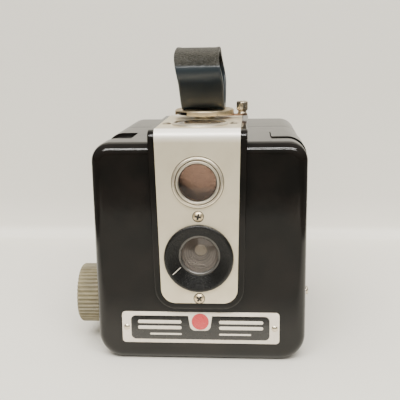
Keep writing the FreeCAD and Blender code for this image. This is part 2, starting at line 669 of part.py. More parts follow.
def shaft_bush():
    """Flanged bush in the body wall."""
    barrel = rod_x(KNOB_Y, KNOB_Z, 4.0, -WIDTH / 2, -WIDTH / 2 + WALL)
    flange = rod_x(KNOB_Y, KNOB_Z, 6.0, -WIDTH / 2 + WALL, -WIDTH / 2 + WALL + 1.0)
    return barrel.fuse(flange).cut(rod_x(KNOB_Y, KNOB_Z, 2.56, -WIDTH, 0))


def spool(y, z):
    """Steel roll-film spool: thin core, two flanges, a cross slot and a pin hole at each end."""
    core = rod_x(y, z, SPOOL_CORE_R, -SPOOL_HALF, SPOOL_HALF)
    for side in (-1, 1):
        inner = side * (SPOOL_HALF - 0.8)
        core = core.fuse(rod_x(y, z, SPOOL_R, min(inner, side * SPOOL_HALF), max(inner, side * SPOOL_HALF)))
        slot_end = side * (SPOOL_HALF - 4.6)
        low = min(slot_end, side * (SPOOL_HALF + 1))
        high = max(slot_end, side * (SPOOL_HALF + 1))
        core = core.cut(rod_x(y, z, 1.8, low, high))
        core = core.cut(box(low, high, y - 2.8, y + 2.8, z - 0.7, z + 0.7))
    return core.cut(box(-25, 25, y - 5, y + 5, z - 0.5, z + 0.5))


def spool_pin(y, z, side):
    """Headed stud on a side plate that a spool turns on."""
    tip = SPOOL_HALF - 3.6
    stud = rod_x(y, z, 1.5, tip, SIDE_X + SIDE_THICK + 0.6)
    head = rod_x(y, z, 3.0, SIDE_X + SIDE_THICK, SIDE_X + SIDE_THICK + 0.8)
    pin = stud.fuse(head)
    return pin if side > 0 else pin.mirror(FreeCAD.Vector(0, 0, 0), FreeCAD.Vector(1, 0, 0))


def spool_pins():
    return compound([
        spool_pin(SUPPLY_Y, SUPPLY_Z, -1), spool_pin(SUPPLY_Y, SUPPLY_Z, 1),
        spool_pin(KNOB_Y, KNOB_Z, 1),
    ])


def carrier_side(side):
    """Steel side plate that carries the spools and the rollers."""
    x0 = SIDE_X
    x1 = SIDE_X + SIDE_THICK
    outline = [
        (KNOB_Y - 10, 5.0), (GATE_Y + 1.0, 5.0), (GATE_Y + 1.0, 88.0), (SUPPLY_Y - 9, 88.0),
        (SUPPLY_Y - 14, 70.0), (SUPPLY_Y - 14, 56.0), (KNOB_Y - 10, 34.0),
    ]
    plate = prism_x(outline, x0, x1)
    for y, z in ((SUPPLY_Y, SUPPLY_Z), (KNOB_Y, KNOB_Z)):
        hole = 1.5 if side > 0 or z > LENS_Z else 5.0
        plate = plate.cut(rod_x(y, z, hole, x0 - 1, x1 + 1))
    for z in (ROLLER_HIGH_Z, ROLLER_LOW_Z):
        plate = plate.cut(rod_x(ROLLER_Y, z, 1.05, x0 - 1, x1 + 1))
    if side > 0:
        return plate
    return plate.mirror(FreeCAD.Vector(0, 0, 0), FreeCAD.Vector(1, 0, 0))


def roller(z):
    """Film roller with a trunnion at each end."""
    barrel = rod_x(ROLLER_Y, z, ROLLER_R, -SIDE_X + 0.4, SIDE_X - 0.4)
    return barrel.fuse(rod_x(ROLLER_Y, z, 1.0, -SIDE_X - 1.6, SIDE_X + 1.6))


def cone_solid(grow, y0, y1):
    """A square pyramid along the lens axis, between two planes, grown sideways."""
    slope = (GATE_HALF - 6.0) / (GATE_Y - CONE_FRONT_Y)

    def square(y):
        half = 6.0 + slope * (y - CONE_FRONT_Y) + grow
        return Part.makePolygon([
            FreeCAD.Vector(-half, y, LENS_Z - half), FreeCAD.Vector(half, y, LENS_Z - half),
            FreeCAD.Vector(half, y, LENS_Z + half), FreeCAD.Vector(-half, y, LENS_Z + half),
            FreeCAD.Vector(-half, y, LENS_Z - half),
        ])

    return Part.makeLoft([square(y0), square(y1)], True, True)


def light_cone():
    return cone_solid(0.8, CONE_FRONT_Y, GATE_Y).cut(cone_solid(0, CONE_FRONT_Y - 1, GATE_Y + 1))


def film_gate():
    """Frame across the back of the cone that the film runs over."""
    frame = box(-SIDE_X, SIDE_X, GATE_Y, GATE_Y + 1.0, 16.6, 77.0)
    return frame.cut(box(
        -GATE_HALF, GATE_HALF, GATE_Y - 1, GATE_Y + 2, LENS_Z - GATE_HALF, LENS_Z + GATE_HALF))


def spool_spring():
    """Brake leaf that presses on the supply spool."""
    leaf = box(-8, 8, SUPPLY_Y + SPOOL_R + 1.0, SUPPLY_Y + SPOOL_R + 1.4, 78.0, 90.4)
    foot = box(-8, 8, SUPPLY_Y + SPOOL_R + 1.0, GATE_Y + 1.0, 90.4, 90.8)
    bridge = box(-SIDE_X, SIDE_X, GATE_Y - 1.0, GATE_Y, 89.6, 90.4)
    hook_low = box(-SIDE_X, -SIDE_X + 1.0, GATE_Y - 1.0, GATE_Y, 86.0, 89.6)
    hook_high = box(SIDE_X - 1.0, SIDE_X, GATE_Y - 1.0, GATE_Y, 86.0, 89.6)
    return leaf.fuse(foot).fuse(bridge).fuse(hook_low).fuse(hook_high)


# ---- back window --------------------------------------------------------------------------------

def red_window():
    return rod_y(0, WINDOW_Z, WINDOW_R, BACK_Y - 1.6, BACK_Y - 0.6)


def red_window_retainer():
    y = BACK_Y - 1.6
    return revolve_y([(6.3, y), (WINDOW_R, y), (WINDOW_R, y - 0.8), (6.3, y - 0.8)], 0, WINDOW_Z)


# ---- handle and latch ---------------------------------------------------------------------------


def latch_pivot():
    """Shouldered post that carries the latch arm and holds the disc."""
    post = rod_z(0, DISC_Y, 2.5, PLATE_TOP_Z, DISC_TOP_Z - ROOF)
    shoulder = rod_z(0, DISC_Y, 4.6, PLATE_TOP_Z, ARM_LOW_Z - 0.05)
    shank = rod_z(0, DISC_Y, 1.6, HEIGHT - WALL - 0.6, PLATE_TOP_Z)
    tail = rod_z(0, DISC_Y, 2.6, HEIGHT - WALL - 1.2, HEIGHT - WALL - 0.02)
    return post.fuse(shoulder).fuse(shank).fuse(tail)


def latch_arm():
    """Flat lever: a hub, an arm out to the finger knob and a curved hook behind the catch pin."""
    hub = rod_z(0, DISC_Y, 5.0, ARM_LOW_Z, ARM_TOP_Z)
    arm = box(0, LATCH_ARM_R, DISC_Y - 2.4, DISC_Y + 2.4, ARM_LOW_Z, ARM_TOP_Z)
    end = rod_z(LATCH_ARM_R, DISC_Y, 2.4, ARM_LOW_Z, ARM_TOP_Z)
    hook = ring_sector(0, DISC_Y, 10.15, 12.6, ARM_LOW_Z, ARM_TOP_Z, 0, 45)
    lever = hub.fuse(arm).fuse(end).fuse(hook)
    return lever.cut(rod_z(0, DISC_Y, 2.55, ARM_LOW_Z - 1, ARM_TOP_Z + 1))


def latch_knob():
    """Small turned finger knob with a waist of shallow flutes."""
    knob = rod_z(LATCH_ARM_R, DISC_Y, LATCH_KNOB_R, ARM_TOP_Z, LATCH_KNOB_TOP_Z)
    rims = [e for e in knob.Edges if e.Curve.TypeId == "Part::GeomCircle"]
    knob = knob.makeFillet(0.45, rims)
    flutes = 12
    for i in range(flutes):
        angle = 2 * math.pi * i / flutes
        x = LATCH_ARM_R + (LATCH_KNOB_R + 0.25) * math.cos(angle)
        y = DISC_Y + (LATCH_KNOB_R + 0.25) * math.sin(angle)
        knob = knob.cut(rod_z(x, y, 0.5, ARM_TOP_Z + 0.8, LATCH_KNOB_TOP_Z - 0.9))
    return knob


def handle_disc():
    """Shallow nickel cap over the latch, its skirt notched at the front left."""
    outline = [
        (2.0, DISC_TOP_Z - ROOF), (DISC_R - 1.0, DISC_TOP_Z - ROOF), (DISC_R - 1.0, DISC_LOW_Z),
        (DISC_R, DISC_LOW_Z), (DISC_R, DISC_TOP_Z - 0.3), (DISC_R - 0.3, DISC_TOP_Z),
        (2.0, DISC_TOP_Z),
    ]
    cap = revolve_z(outline, 0, DISC_Y)
    notch = ring_sector(
        0, DISC_Y, DISC_R - 1.6, DISC_R + 1, DISC_LOW_Z - 1, DISC_TOP_Z - ROOF, 196, 42)
    return cap.cut(notch)


def handle_rivet():
    base_z = DISC_TOP_Z + STRAP_THICK
    head = dome_z(0, DISC_Y, 3.6, base_z, 1.1)
    return head.fuse(rod_z(0, DISC_Y, 2.0, DISC_TOP_Z - ROOF, base_z))


def strap_face(offset):
    """Side view of the strap's loop, at a distance outside its middle line, as a face."""
    low = DISC_TOP_Z + STRAP_THICK / 2
    high = STRAP_TOP_Z - STRAP_THICK / 2
    middle = [
        (DISC_Y, low), (DISC_Y - 6.5, low), (DISC_Y - 11.0, low + 1.4), (DISC_Y - 17.5, 112.5),
        (DISC_Y - 22.6, 118.8), (DISC_Y - 23.4, 124.0), (DISC_Y - 18.5, 128.4), (DISC_Y - 6.0, high),
        (DISC_Y + 5.5, high - 0.6), (DISC_Y + 14.0, 126.5), (DISC_Y + 16.8, 120.0),
        (DISC_Y + 13.6, 113.0), (DISC_Y + 9.6, low + 2.6), (DISC_Y + 5.5, low),
    ]
    loop = Part.BSplineCurve()
    loop.interpolate([FreeCAD.Vector(-STRAP_HALF, y, z) for y, z in middle], PeriodicFlag=True)
    samples = 56
    edge = []
    for i in range(samples):
        u = loop.FirstParameter + (loop.LastParameter - loop.FirstParameter) * i / samples
        run = loop.tangent(u)[0]
        outward = run.cross(FreeCAD.Vector(1, 0, 0)).normalize()
        edge.append(loop.value(u) + outward * offset)
    side = Part.BSplineCurve()
    side.interpolate(edge, PeriodicFlag=True)
    return Part.Face(Part.Wire(side.toShape()))


def handle_strap():
    """Flexible loop, flat-bottomed where the rivet clamps it to the disc."""
    sweep = FreeCAD.Vector(2 * STRAP_HALF, 0, 0)
    faces = sorted((strap_face(STRAP_THICK / 2), strap_face(-STRAP_THICK / 2)), key=lambda f: f.Area)
    strap = faces[1].extrude(sweep).cut(faces[0].extrude(sweep))
    base_z = DISC_TOP_Z + STRAP_THICK
    strap = strap.cut(box(-20, 20, DISC_Y - 20, DISC_Y + 20, HEIGHT, DISC_TOP_Z))
    strap = strap.cut(rod_z(0, DISC_Y, 3.6, base_z, base_z + 2))
    return strap.cut(rod_z(0, DISC_Y, 2.0, DISC_TOP_Z - 1, base_z + 1))


def catch_plate():
    """Strip on the rear shell whose forward tongue carries the catch pin under the disc."""
    rise_y = SPLIT_Y + 0.4
    tongue = box(-TONGUE_HALF, TONGUE_HALF, DISC_Y + CATCH_REACH - 2.0, rise_y + 0.8,
                 TONGUE_LOW_Z, TONGUE_TOP_Z)
    riser = box(-TONGUE_HALF, TONGUE_HALF, rise_y, rise_y + 0.8, HEIGHT, TONGUE_TOP_Z)
    foot = box(-6.0, 6.0, rise_y, 27.0, HEIGHT, HEIGHT + 0.8)
    pin = rod_z(0, DISC_Y + CATCH_REACH, CATCH_PIN_R, TONGUE_LOW_Z, ARM_TOP_Z)
    plate = tongue.fuse(riser).fuse(foot).fuse(pin)
    for y in CATCH_RIVET_YS:
        plate = plate.cut(rod_z(0, y, 1.2, HEIGHT - 1, HEIGHT + 2))
    return plate


def catch_rivets():
    rivets = []
    for y in CATCH_RIVET_YS:
        head = dome_z(0, y, 2.2, HEIGHT + 0.8, 0.9)
        shank = rod_z(0, y, 1.2, HEIGHT - WALL, HEIGHT + 0.8)
        tail = rod_z(0, y, 2.0, HEIGHT - WALL - 0.7, HEIGHT - WALL)
        rivets.append(head.fuse(shank).fuse(tail))
    return compound(rivets)


# ---- flash contacts -----------------------------------------------------------------------------


def flash_washers():
    """Insulating washers between the contacts and the body."""
    return compound([
        rod_x(CONTACT_Y, z, 4.2, SIDE_FACE_X, SIDE_FACE_X + 0.7).cut(
            rod_x(CONTACT_Y, z, 2.6, 0, WIDTH))
        for z in (SOCKET_Z, STUD_Z)
    ])


def flash_socket():
    """Hollow threaded contact, open at its outer end."""
    body = rod_x(CONTACT_Y, SOCKET_Z, 2.6, SIDE_FACE_X - WALL - 2.4, SIDE_FACE_X + 3.4)
    flange = rod_x(CONTACT_Y, SOCKET_Z, 3.4, SIDE_FACE_X + 0.7, SIDE_FACE_X + 2.2)
    bore = rod_x(CONTACT_Y, SOCKET_Z, SOCKET_HOLE_R, SIDE_FACE_X - 3.0, SIDE_FACE_X + 4)
    return body.fuse(flange).cut(bore)


def flash_stud():
    """Plain contact stud with a rounded end."""
    stud = rod_x(CONTACT_Y, STUD_Z, 2.6, SIDE_FACE_X - WALL - 2.4, SIDE_FACE_X + 1.6)
    flange = rod_x(CONTACT_Y, STUD_Z, 3.4, SIDE_FACE_X + 0.7, SIDE_FACE_X + 1.6)
    nose = rod_x(CONTACT_Y, STUD_Z, 2.0, SIDE_FACE_X + 1.6, SIDE_FACE_X + 4.8)
    nose_rim = [
        e for e in nose.Edges
        if e.Curve.TypeId == "Part::GeomCircle" and e.Curve.Center.x > SIDE_FACE_X + 4
    ]
    return stud.fuse(flange).fuse(nose.makeFillet(0.5, nose_rim))


def contact_strip(z, reach_z):
    """Spring strip from a contact to the edge of the shutter plate."""
    x1 = SIDE_FACE_X - WALL - 2.4
    strip = box(x1 - 0.5, x1, SHUTTER_PLATE_Y + 0.2, CONTACT_Y + 4, z - 3, z + 3)
    leg = box(34.5, x1, SHUTTER_PLATE_Y + 0.2, SHUTTER_PLATE_Y + 0.7, reach_z - 2, reach_z + 2)
    web = box(x1 - 0.5, x1, SHUTTER_PLATE_Y + 0.2, SHUTTER_PLATE_Y + 2.2,
              min(z, reach_z) - 2, max(z, reach_z) + 2)
    return strip.fuse(leg).fuse(web)


# ---- nameplate ----------------------------------------------------------------------------------


def nameplate():
    plate = box(-NAME_HALF, NAME_HALF, FRONT_Y - NAME_THICK, FRONT_Y, NAME_LOW_Z, NAME_TOP_Z)
    return plate.makeFillet(1.5, along(plate, FreeCAD.Vector(0, 1, 0)))


def nameplate_enamel():
    """Black panel with a plain rounded notch at its top middle for the red spot."""
    y0 = FRONT_Y - NAME_THICK - ENAMEL_THICK
    y1 = FRONT_Y - NAME_THICK
    panel = box(-29.2, 29.2, y0, y1, 10.0, 20.6)
    panel = panel.makeFillet(2.0, along(panel, FreeCAD.Vector(0, 1, 0)))
    tab = rod_y(0, 18.1, 4.7, y0 - 1, y1 + 1)
    return panel.cut(tab)


def nameplate_dot():
    y1 = FRONT_Y - NAME_THICK
    return rod_y(0, 18.1, 3.62, y1 - 0.3, y1)


def nameplate_pins():
    pins = []
    for x in (-NAME_PIN_X, NAME_PIN_X):
        z = (NAME_LOW_Z + NAME_TOP_Z) / 2
        pins.append(dome_y(x, z, 1.35, FRONT_Y - NAME_THICK, 0.6))
    return compound(pins)


def build():
    shell = front_shell()
    for post in shutter_posts():
        shell = shell.fuse(post)
    return {
        "front_shell": shell,
        "rear_shell": rear_shell(),
        "faceplate": faceplate(),
        "faceplate_screws": compound([cross_screw(z) for z in SCREW_ZS]),
        "faceplate_rivets": compound([plate_rivet(-RIVET_X), plate_rivet(RIVET_X)]),
        "finder_bezel": finder_bezel(),
        "finder_front_lens": finder_front_lens(),
        "finder_housing": finder_housing(),
        "finder_mirror": finder_mirror(),
        "finder_top_rim": finder_top_rim(),
        "finder_top_lens": finder_top_lens(),
        "lens_bezel": lens_bezel(),
        "lens_retaining_ring": lens_retaining_ring(),
        "meniscus_lens": meniscus_lens(),
        "lens_barrel": lens_barrel(),
        "shutter_plate": shutter_plate(),
        "shutter_screws": shutter_screws(),
        "shutter_pivot": shutter_pivot(),
        "shutter_disc": shutter_disc(),
        "shutter_drive_pin": shutter_drive_pin(),
        "shutter_spring": shutter_spring(),
        "release_button": corner_button(-1, RELEASE_DROP, 7),
        "release_link": release_link(),
        "release_spring": release_spring(),
        "time_button": corner_button(1, 0, 0),
        "time_link": time_link(),
        "winding_knob": winding_knob(),
        "knob_collar": knob_collar(),
        "knob_shaft": knob_shaft(),
        "winding_key": winding_key(),
        "shaft_bush": shaft_bush(),
        "takeup_spool": spool(KNOB_Y, KNOB_Z),
        "supply_spool": spool(SUPPLY_Y, SUPPLY_Z),
        "spool_pins": spool_pins(),
        "spool_spring": spool_spring(),
        "carrier_side_left": carrier_side(-1),
        "carrier_side_right": carrier_side(1),
        "roller_upper": roller(ROLLER_HIGH_Z),
        "roller_lower": roller(ROLLER_LOW_Z),
        "light_cone": light_cone(),
        "film_gate": film_gate(),
        "red_window": red_window(),
        "red_window_retainer": red_window_retainer(),
        "handle_disc": handle_disc(),
        "handle_strap": handle_strap(),
        "handle_rivet": handle_rivet(),
        "latch_pivot": latch_pivot(),
        "latch_arm": latch_arm(),
        "latch_knob": latch_knob(),
        "catch_plate": catch_plate(),
        "catch_rivets": catch_rivets(),
        "flash_socket": flash_socket(),
        "flash_stud": flash_stud(),
        "flash_washers": flash_washers(),
        "contact_strip_upper": contact_strip(SOCKET_Z, 50.0),
        "contact_strip_lower": contact_strip(STUD_Z, 27.0),
        "nameplate": nameplate(),
        "nameplate_enamel": nameplate_enamel(),
        "nameplate_dot": nameplate_dot(),
        "nameplate_pins": nameplate_pins(),
    }


os.makedirs("parts", exist_ok=True)
for node, shape in build().items():
    shape.exportStep("parts/" + node + ".step")
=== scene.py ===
import math

import bmesh
import bpy
from mathutils import Matrix, Vector


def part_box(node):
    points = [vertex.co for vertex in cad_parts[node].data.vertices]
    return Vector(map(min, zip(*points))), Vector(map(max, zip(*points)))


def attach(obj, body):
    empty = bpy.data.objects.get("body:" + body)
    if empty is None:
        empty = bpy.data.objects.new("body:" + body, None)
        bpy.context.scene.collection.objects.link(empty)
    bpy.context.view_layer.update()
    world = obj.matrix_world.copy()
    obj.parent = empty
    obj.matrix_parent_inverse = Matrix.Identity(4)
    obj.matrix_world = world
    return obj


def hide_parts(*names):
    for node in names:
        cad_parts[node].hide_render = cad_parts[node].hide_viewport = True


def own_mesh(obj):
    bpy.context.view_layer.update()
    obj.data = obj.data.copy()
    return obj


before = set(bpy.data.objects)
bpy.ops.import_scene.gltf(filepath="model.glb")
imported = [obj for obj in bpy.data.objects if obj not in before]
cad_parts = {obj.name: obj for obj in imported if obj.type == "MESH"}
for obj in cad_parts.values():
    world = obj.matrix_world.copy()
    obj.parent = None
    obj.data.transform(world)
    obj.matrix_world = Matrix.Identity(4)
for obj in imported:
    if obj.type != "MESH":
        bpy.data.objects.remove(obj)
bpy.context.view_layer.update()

bl_info = {
    "name": "Moulded box camera",
    "version": (1, 0, 0),
    "blender": (4, 5, 0),
    "location": "View3D > Sidebar > Box camera",
    "description": "Models the visible pieces of a moulded roll-film box camera on its CAD frame",
    "category": "Object",
}

MM = 0.001


# ---- places taken from the frame ----------------------------------------------------------------

def low_mm(node):
    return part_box(node)[0] / MM


def high_mm(node):
    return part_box(node)[1] / MM


def middle_mm(node):
    return (low_mm(node) + high_mm(node)) / 2


HALF_WIDTH = high_mm("rear_shell").x
HEIGHT = high_mm("rear_shell").z
FRONT_Y = high_mm("nameplate").y
BACK_Y = high_mm("rear_shell").y
SPLIT_Y = low_mm("rear_shell").y
HOUSING_FRONT_Y = low_mm("front_shell").y
HOUSING_TOP_Z = high_mm("front_shell").z
PLATE_FRONT_Y = low_mm("faceplate").y
PLATE_TOP_Z = high_mm("faceplate").z
PLATE_END_Y = high_mm("faceplate").y
PLATE_LOW_Z = low_mm("faceplate").z
LENS_Z = middle_mm("lens_bezel").z
FINDER_Z = middle_mm("finder_bezel").z
TOP_LENS_Y = middle_mm("finder_top_rim").y
DISC_Y = middle_mm("handle_disc").y
KNOB = middle_mm("winding_knob")


# ---- settings -----------------------------------------------------------------------------------

def length(name, default, note):
    return bpy.props.FloatProperty(
        name=name, default=default * MM, unit="LENGTH", precision=5, description=note)


def colour(name, default, note):
    return bpy.props.FloatVectorProperty(
        name=name, subtype="COLOR", size=4, default=linear(default), description=note)


def linear(hexa):
    """An sRGB hex colour as the linear RGBA that shaders take."""
    parts = [int(hexa[i:i + 2], 16) / 255 for i in (1, 3, 5)]
    return tuple(c / 12.92 if c <= 0.04045 else ((c + 0.055) / 1.055) ** 2.4 for c in parts) + (1.0,)


class ShellSettings(bpy.types.PropertyGroup):
    """Sizes and colour of the moulded body."""
    corner: length("Top corner radius", 8.0, "Radius of the two top edges that run front to back")
    foot: length(
        "Foot corner radius", 11.0, "Radius of the two bottom edges that run front to back")
    front: length("Front edge radius", 4.8, "Rounding all round the front face")
    back: length("Back edge radius", 5.5, "Rounding all round the back face")
    wall: length("Wall", 2.4, "Thickness of the moulding")
    tint: colour("Bakelite", "#0f0e0c", "Colour of the black phenolic moulding")


class PlateSettings(bpy.types.PropertyGroup):
    """Sizes and colour of the bent faceplate."""
    thick: length("Sheet", 0.8, "Thickness of the faceplate")
    bend: length("Bend radius", 3.6, "Outer radius where the sheet folds over the top")
    top_half: length("Half width at the top", 17.5, "Half the width of the sheet at its bend")
    low_half: length("Half width at the foot", 15.8, "Half the width at the bottom edge")
    corner: length("Foot corner radius", 6.0, "Radius of the two bottom corners")
    surround: length("Surround", 2.7, "Width of the black moulding round the sheet")
    tint: colour("Anodised sheet", "#f9eccf", "Colour of the satin champagne aluminium")


class TrimSettings(bpy.types.PropertyGroup):
    """Colours of the small pieces."""
    nickel: colour("Nickel", "#e3d6bf", "Colour of the nickel plating")
    knob: colour("Knob", "#8f866a", "Colour of the winding knob's moulded plastic")
    dot: colour("Spot", "#c8393f", "Colour of the enamel spot on the nameplate")
    strap: colour("Strap", "#20272b", "Colour of the strap's smooth vinyl")


class StageSettings(bpy.types.PropertyGroup):
    """The floor, the backdrop, the light and the camera."""
    floor: colour("Floor", "#e7e3d9", "Colour of the plain floor and backdrop")
    lens: bpy.props.FloatProperty(
        name="Lens", default=61.8, unit="CAMERA", description="Focal length of the view's camera")


def settings(name):
    return getattr(bpy.context.scene, name)


# ---- modelling helpers: everything is modelled in millimetres and scaled to metres at the end ---

def deselect():
    if bpy.context.object and bpy.context.object.mode != "OBJECT":
        bpy.ops.object.mode_set(mode="OBJECT")
    bpy.ops.object.select_all(action="DESELECT")


def take(piece):
    """Makes a piece the only one selected, and the active one."""
    deselect()
    piece.select_set(True)
    bpy.context.view_layer.objects.active = piece


def settle(piece):
    """Leaves a piece at the origin, unrotated and unscaled, with its shape where it was."""
    take(piece)
    bpy.ops.object.transform_apply(location=True, rotation=True, scale=True)
    return piece


def block(name, low, high):
    """A box between two corners."""
    deselect()
    low = Vector(low)
    high = Vector(high)
    bpy.ops.mesh.primitive_cube_add(size=1, location=(low + high) / 2, scale=high - low)
    piece = bpy.context.object
    piece.name = name
    return settle(piece)


ALONG = {"X": Vector((1, 0, 0)), "Y": Vector((0, 1, 0)), "Z": Vector((0, 0, 1))}
LYING = {"X": (0, math.pi / 2, 0), "Y": (math.pi / 2, 0, 0), "Z": (0, 0, 0)}


def rod(name, centre, radius, start, end, axis, vertices=64):
    """A cylinder along an axis through a centre, between two distances along that axis."""
    deselect()
    place = Vector(centre)
    place["XYZ".index(axis)] = (start + end) / 2
    bpy.ops.mesh.primitive_cylinder_add(
        vertices=vertices, radius=radius, depth=abs(end - start), location=place,
        rotation=LYING[axis])
    piece = bpy.context.object
    piece.name = name
    return settle(piece)


def pick(piece, kind, test):
    """Enters edit mode with the vertices, edges or faces selected that pass a test."""
    take(piece)
    bpy.ops.object.mode_set(mode="EDIT")
    bpy.ops.mesh.select_mode(type=kind)
    bpy.ops.mesh.select_all(action="DESELECT")
    mesh = bmesh.from_edit_mesh(piece.data)
    items = {"VERT": mesh.verts, "EDGE": mesh.edges, "FACE": mesh.faces}[kind]
    for item in items:
        if test(item):
            item.select_set(True)
    mesh.select_flush_mode()
    bmesh.update_edit_mesh(piece.data)


def leave():
    bpy.ops.object.mode_set(mode="OBJECT")


def tips(edge):
    return [v.co for v in edge.verts]


def runs_along(axis):
    """A test for edges that run parallel to an axis."""
    others = [i for i in range(3) if i != "XYZ".index(axis)]
    return lambda e: all(abs(tips(e)[0][i] - tips(e)[1][i]) < 1e-3 for i in others)


def on_plane(axis, level):
    """A test for edges that lie in a plane square to an axis."""
    index = "XYZ".index(axis)
    return lambda e: all(abs(p[index] - level) < 1e-3 for p in tips(e))


def sharp(least=50.0, sign=1):
    """A test for edges that fold outwards, or inwards with a negative sign, by an angle or more."""
    return lambda e: e.is_manifold and sign * math.degrees(e.calc_face_angle_signed(0)) > least


def round_edges(piece, test, radius, segments=4):
    """Rounds the edges that pass a test."""
    pick(piece, "EDGE", test)
    bpy.ops.mesh.bevel(offset=radius, segments=segments, affect="EDGES", clamp_overlap=True)
    leave()
    return piece


def apply_modifier(piece, kind, **options):
    take(piece)
    modifier = piece.modifiers.new(kind.title(), kind)
    for key, value in options.items():
        setattr(modifier, key, value)
    bpy.ops.object.modifier_apply(modifier=modifier.name)
    return piece


def combine(piece, tool, operation):
    """Joins, cuts or trims a piece with a tool body, and removes the tool."""
    apply_modifier(piece, "BOOLEAN", object=tool, operation=operation, solver="MANIFOLD")
    bpy.data.objects.remove(tool)
    if not piece.data.polygons:
        raise RuntimeError(piece.name + " came out empty")
    return piece


def cut(piece, tool):
    return combine(piece, tool, "DIFFERENCE")


def fuse(piece, tool):
    return combine(piece, tool, "UNION")


def trim(piece, tool):
    return combine(piece, tool, "INTERSECT")


def copy_to(piece, name, offset):
    """A copy with a mesh of its own, moved by an offset."""
    take(piece)
    bpy.ops.object.duplicate(linked=False)
    twin = bpy.context.object
    twin.name = name
    twin.location = Vector(offset)
    return settle(twin)


def join(pieces, name):
    take(pieces[0])
    for piece in pieces[1:]:
        piece.select_set(True)
    bpy.ops.object.join()
    bpy.context.object.name = name
    return bpy.context.object


def wire(name, points, closed):
    """A chain of edges through points, drawn by extruding one vertex."""
    deselect()
    bpy.ops.mesh.primitive_plane_add(size=1, location=(0, 0, 0))
    piece = bpy.context.object
    piece.name = name
    bpy.ops.object.mode_set(mode="EDIT")
    bpy.ops.mesh.select_mode(type="VERT")
    bpy.ops.mesh.select_all(action="SELECT")
    bpy.ops.mesh.merge(type="CENTER")
    bpy.ops.transform.translate(value=points[0])
    for before, after in zip(points, points[1:]):
        bpy.ops.mesh.extrude_region_move(TRANSFORM_OT_translate={"value": after - before})
    leave()
    if closed:
        last = len(points) - 1
        pick(piece, "VERT", lambda v: v.index in (0, last))
        bpy.ops.mesh.edge_face_add()
        leave()
    return piece


def lathe(name, outline, centre, axis, rounding=0.0, steps=96):
    """Spins an outline of (radius, place along the axis) points about a line."""
    along = ALONG[axis]
    outward = Vector((0, 0, 1)) if axis == "X" else Vector((1, 0, 0))
    centre = Vector(centre)
    centre["XYZ".index(axis)] = 0
    points = [centre + outward * r + along * t for r, t in outline]
    on_axis = outline[0][0] < 0.01 and outline[-1][0] < 0.01
    piece = wire(name, points, not on_axis)
    if rounding:
        off_axis = [p for p, (r, t) in zip(points, outline) if r > 0.01]
        pick(piece, "VERT", lambda v: any((v.co - p).length < 1e-4 for p in off_axis))
        bpy.ops.mesh.bevel(offset=rounding, segments=3, affect="VERTICES", clamp_overlap=True)
        leave()
    take(piece)
    bpy.ops.object.mode_set(mode="EDIT")
    bpy.ops.mesh.select_all(action="SELECT")
    bpy.ops.mesh.spin(steps=steps, angle=2 * math.pi, center=centre, axis=along)
    leave()
    return clean(piece)


def clean(piece):
    """Merges doubled points and turns every face outwards."""
    take(piece)
    bpy.ops.object.mode_set(mode="EDIT")
    bpy.ops.mesh.select_all(action="SELECT")
    bpy.ops.mesh.remove_doubles(threshold=0.002)
    bpy.ops.mesh.dissolve_degenerate(threshold=0.0005)
    bpy.ops.mesh.select_all(action="SELECT")
    bpy.ops.mesh.normals_make_consistent(inside=False)
    leave()
    return piece


def cap(radius, rise, rim, toward, steps=8):
    """Outline points of a shallow dome, from its rim to its crown on the axis."""
    ball = (radius * radius + rise * rise) / (2 * rise)
    spread = math.asin(min(1.0, radius / ball))
    points = []
    for i in range(steps + 1):
        angle = spread * (1 - i / steps)
        points.append(
            (ball * math.sin(angle), rim + toward * (ball * math.cos(angle) - ball + rise)))
    points[-1] = (0.0, rim + toward * rise)
    return points


def finish(piece, body, look, nodes=(), angle=35.0, weighted=False):
    """Scales a piece to metres, shades it and puts it on its body in place of its CAD nodes."""
    take(piece)
    bpy.ops.object.mode_set(mode="EDIT")
    bpy.ops.mesh.select_all(action="SELECT")
    bpy.ops.transform.resize(value=(MM, MM, MM), center_override=(0, 0, 0))
    leave()
    if weighted:
        pick(piece, "FACE", lambda f: len(f.verts) > 4)
        bpy.ops.mesh.quads_convert_to_tris(quad_method="BEAUTY", ngon_method="CLIP")
        leave()
    bpy.ops.object.shade_smooth_by_angle(angle=math.radians(angle))
    if weighted:
        apply_modifier(piece, "WEIGHTED_NORMAL", keep_sharp=True, weight=60)
    piece.data.materials.clear()
    piece.data.materials.append(material(look))
    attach(piece, body)
    if nodes:
        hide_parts(*nodes)
    return piece


def dress(node, look):
    """Gives a CAD node that keeps its shape a better material."""
    piece = bpy.data.objects[node]
    take(piece)
    bpy.ops.object.shade_smooth_by_angle(angle=math.radians(35))
    piece.data.materials.clear()
    piece.data.materials.append(material(look))


# ---- materials ----------------------------------------------------------------------------------

def add(tree, kind, settings=(), **links):
    """Adds a node, sets its sockets or properties, and links its inputs."""
    node = tree.nodes.new(kind)
    for key, value in dict(settings).items():
        if key in node.inputs:
            node.inputs[key].default_value = value
        else:
            setattr(node, key, value)
    for key, source in links.items():
        tree.links.new(source, node.inputs[key.replace("_", " ")])
    return node


def start(name, settings):
    """A new material with a Principled shader set from real values, and the object's coordinates."""
    material = bpy.data.materials.new(name)
    material.use_nodes = True
    tree = material.node_tree
    tree.nodes.clear()
    shader = add(tree, "ShaderNodeBsdfPrincipled", settings)
    output = add(tree, "ShaderNodeOutputMaterial")
    tree.links.new(shader.outputs["BSDF"], output.inputs["Surface"])
    place = add(tree, "ShaderNodeTexCoord").outputs["Object"]
    return material, tree, shader, place


def every(mm):
    """Texture scale for a feature that repeats every so many millimetres."""
    return 1000.0 / mm


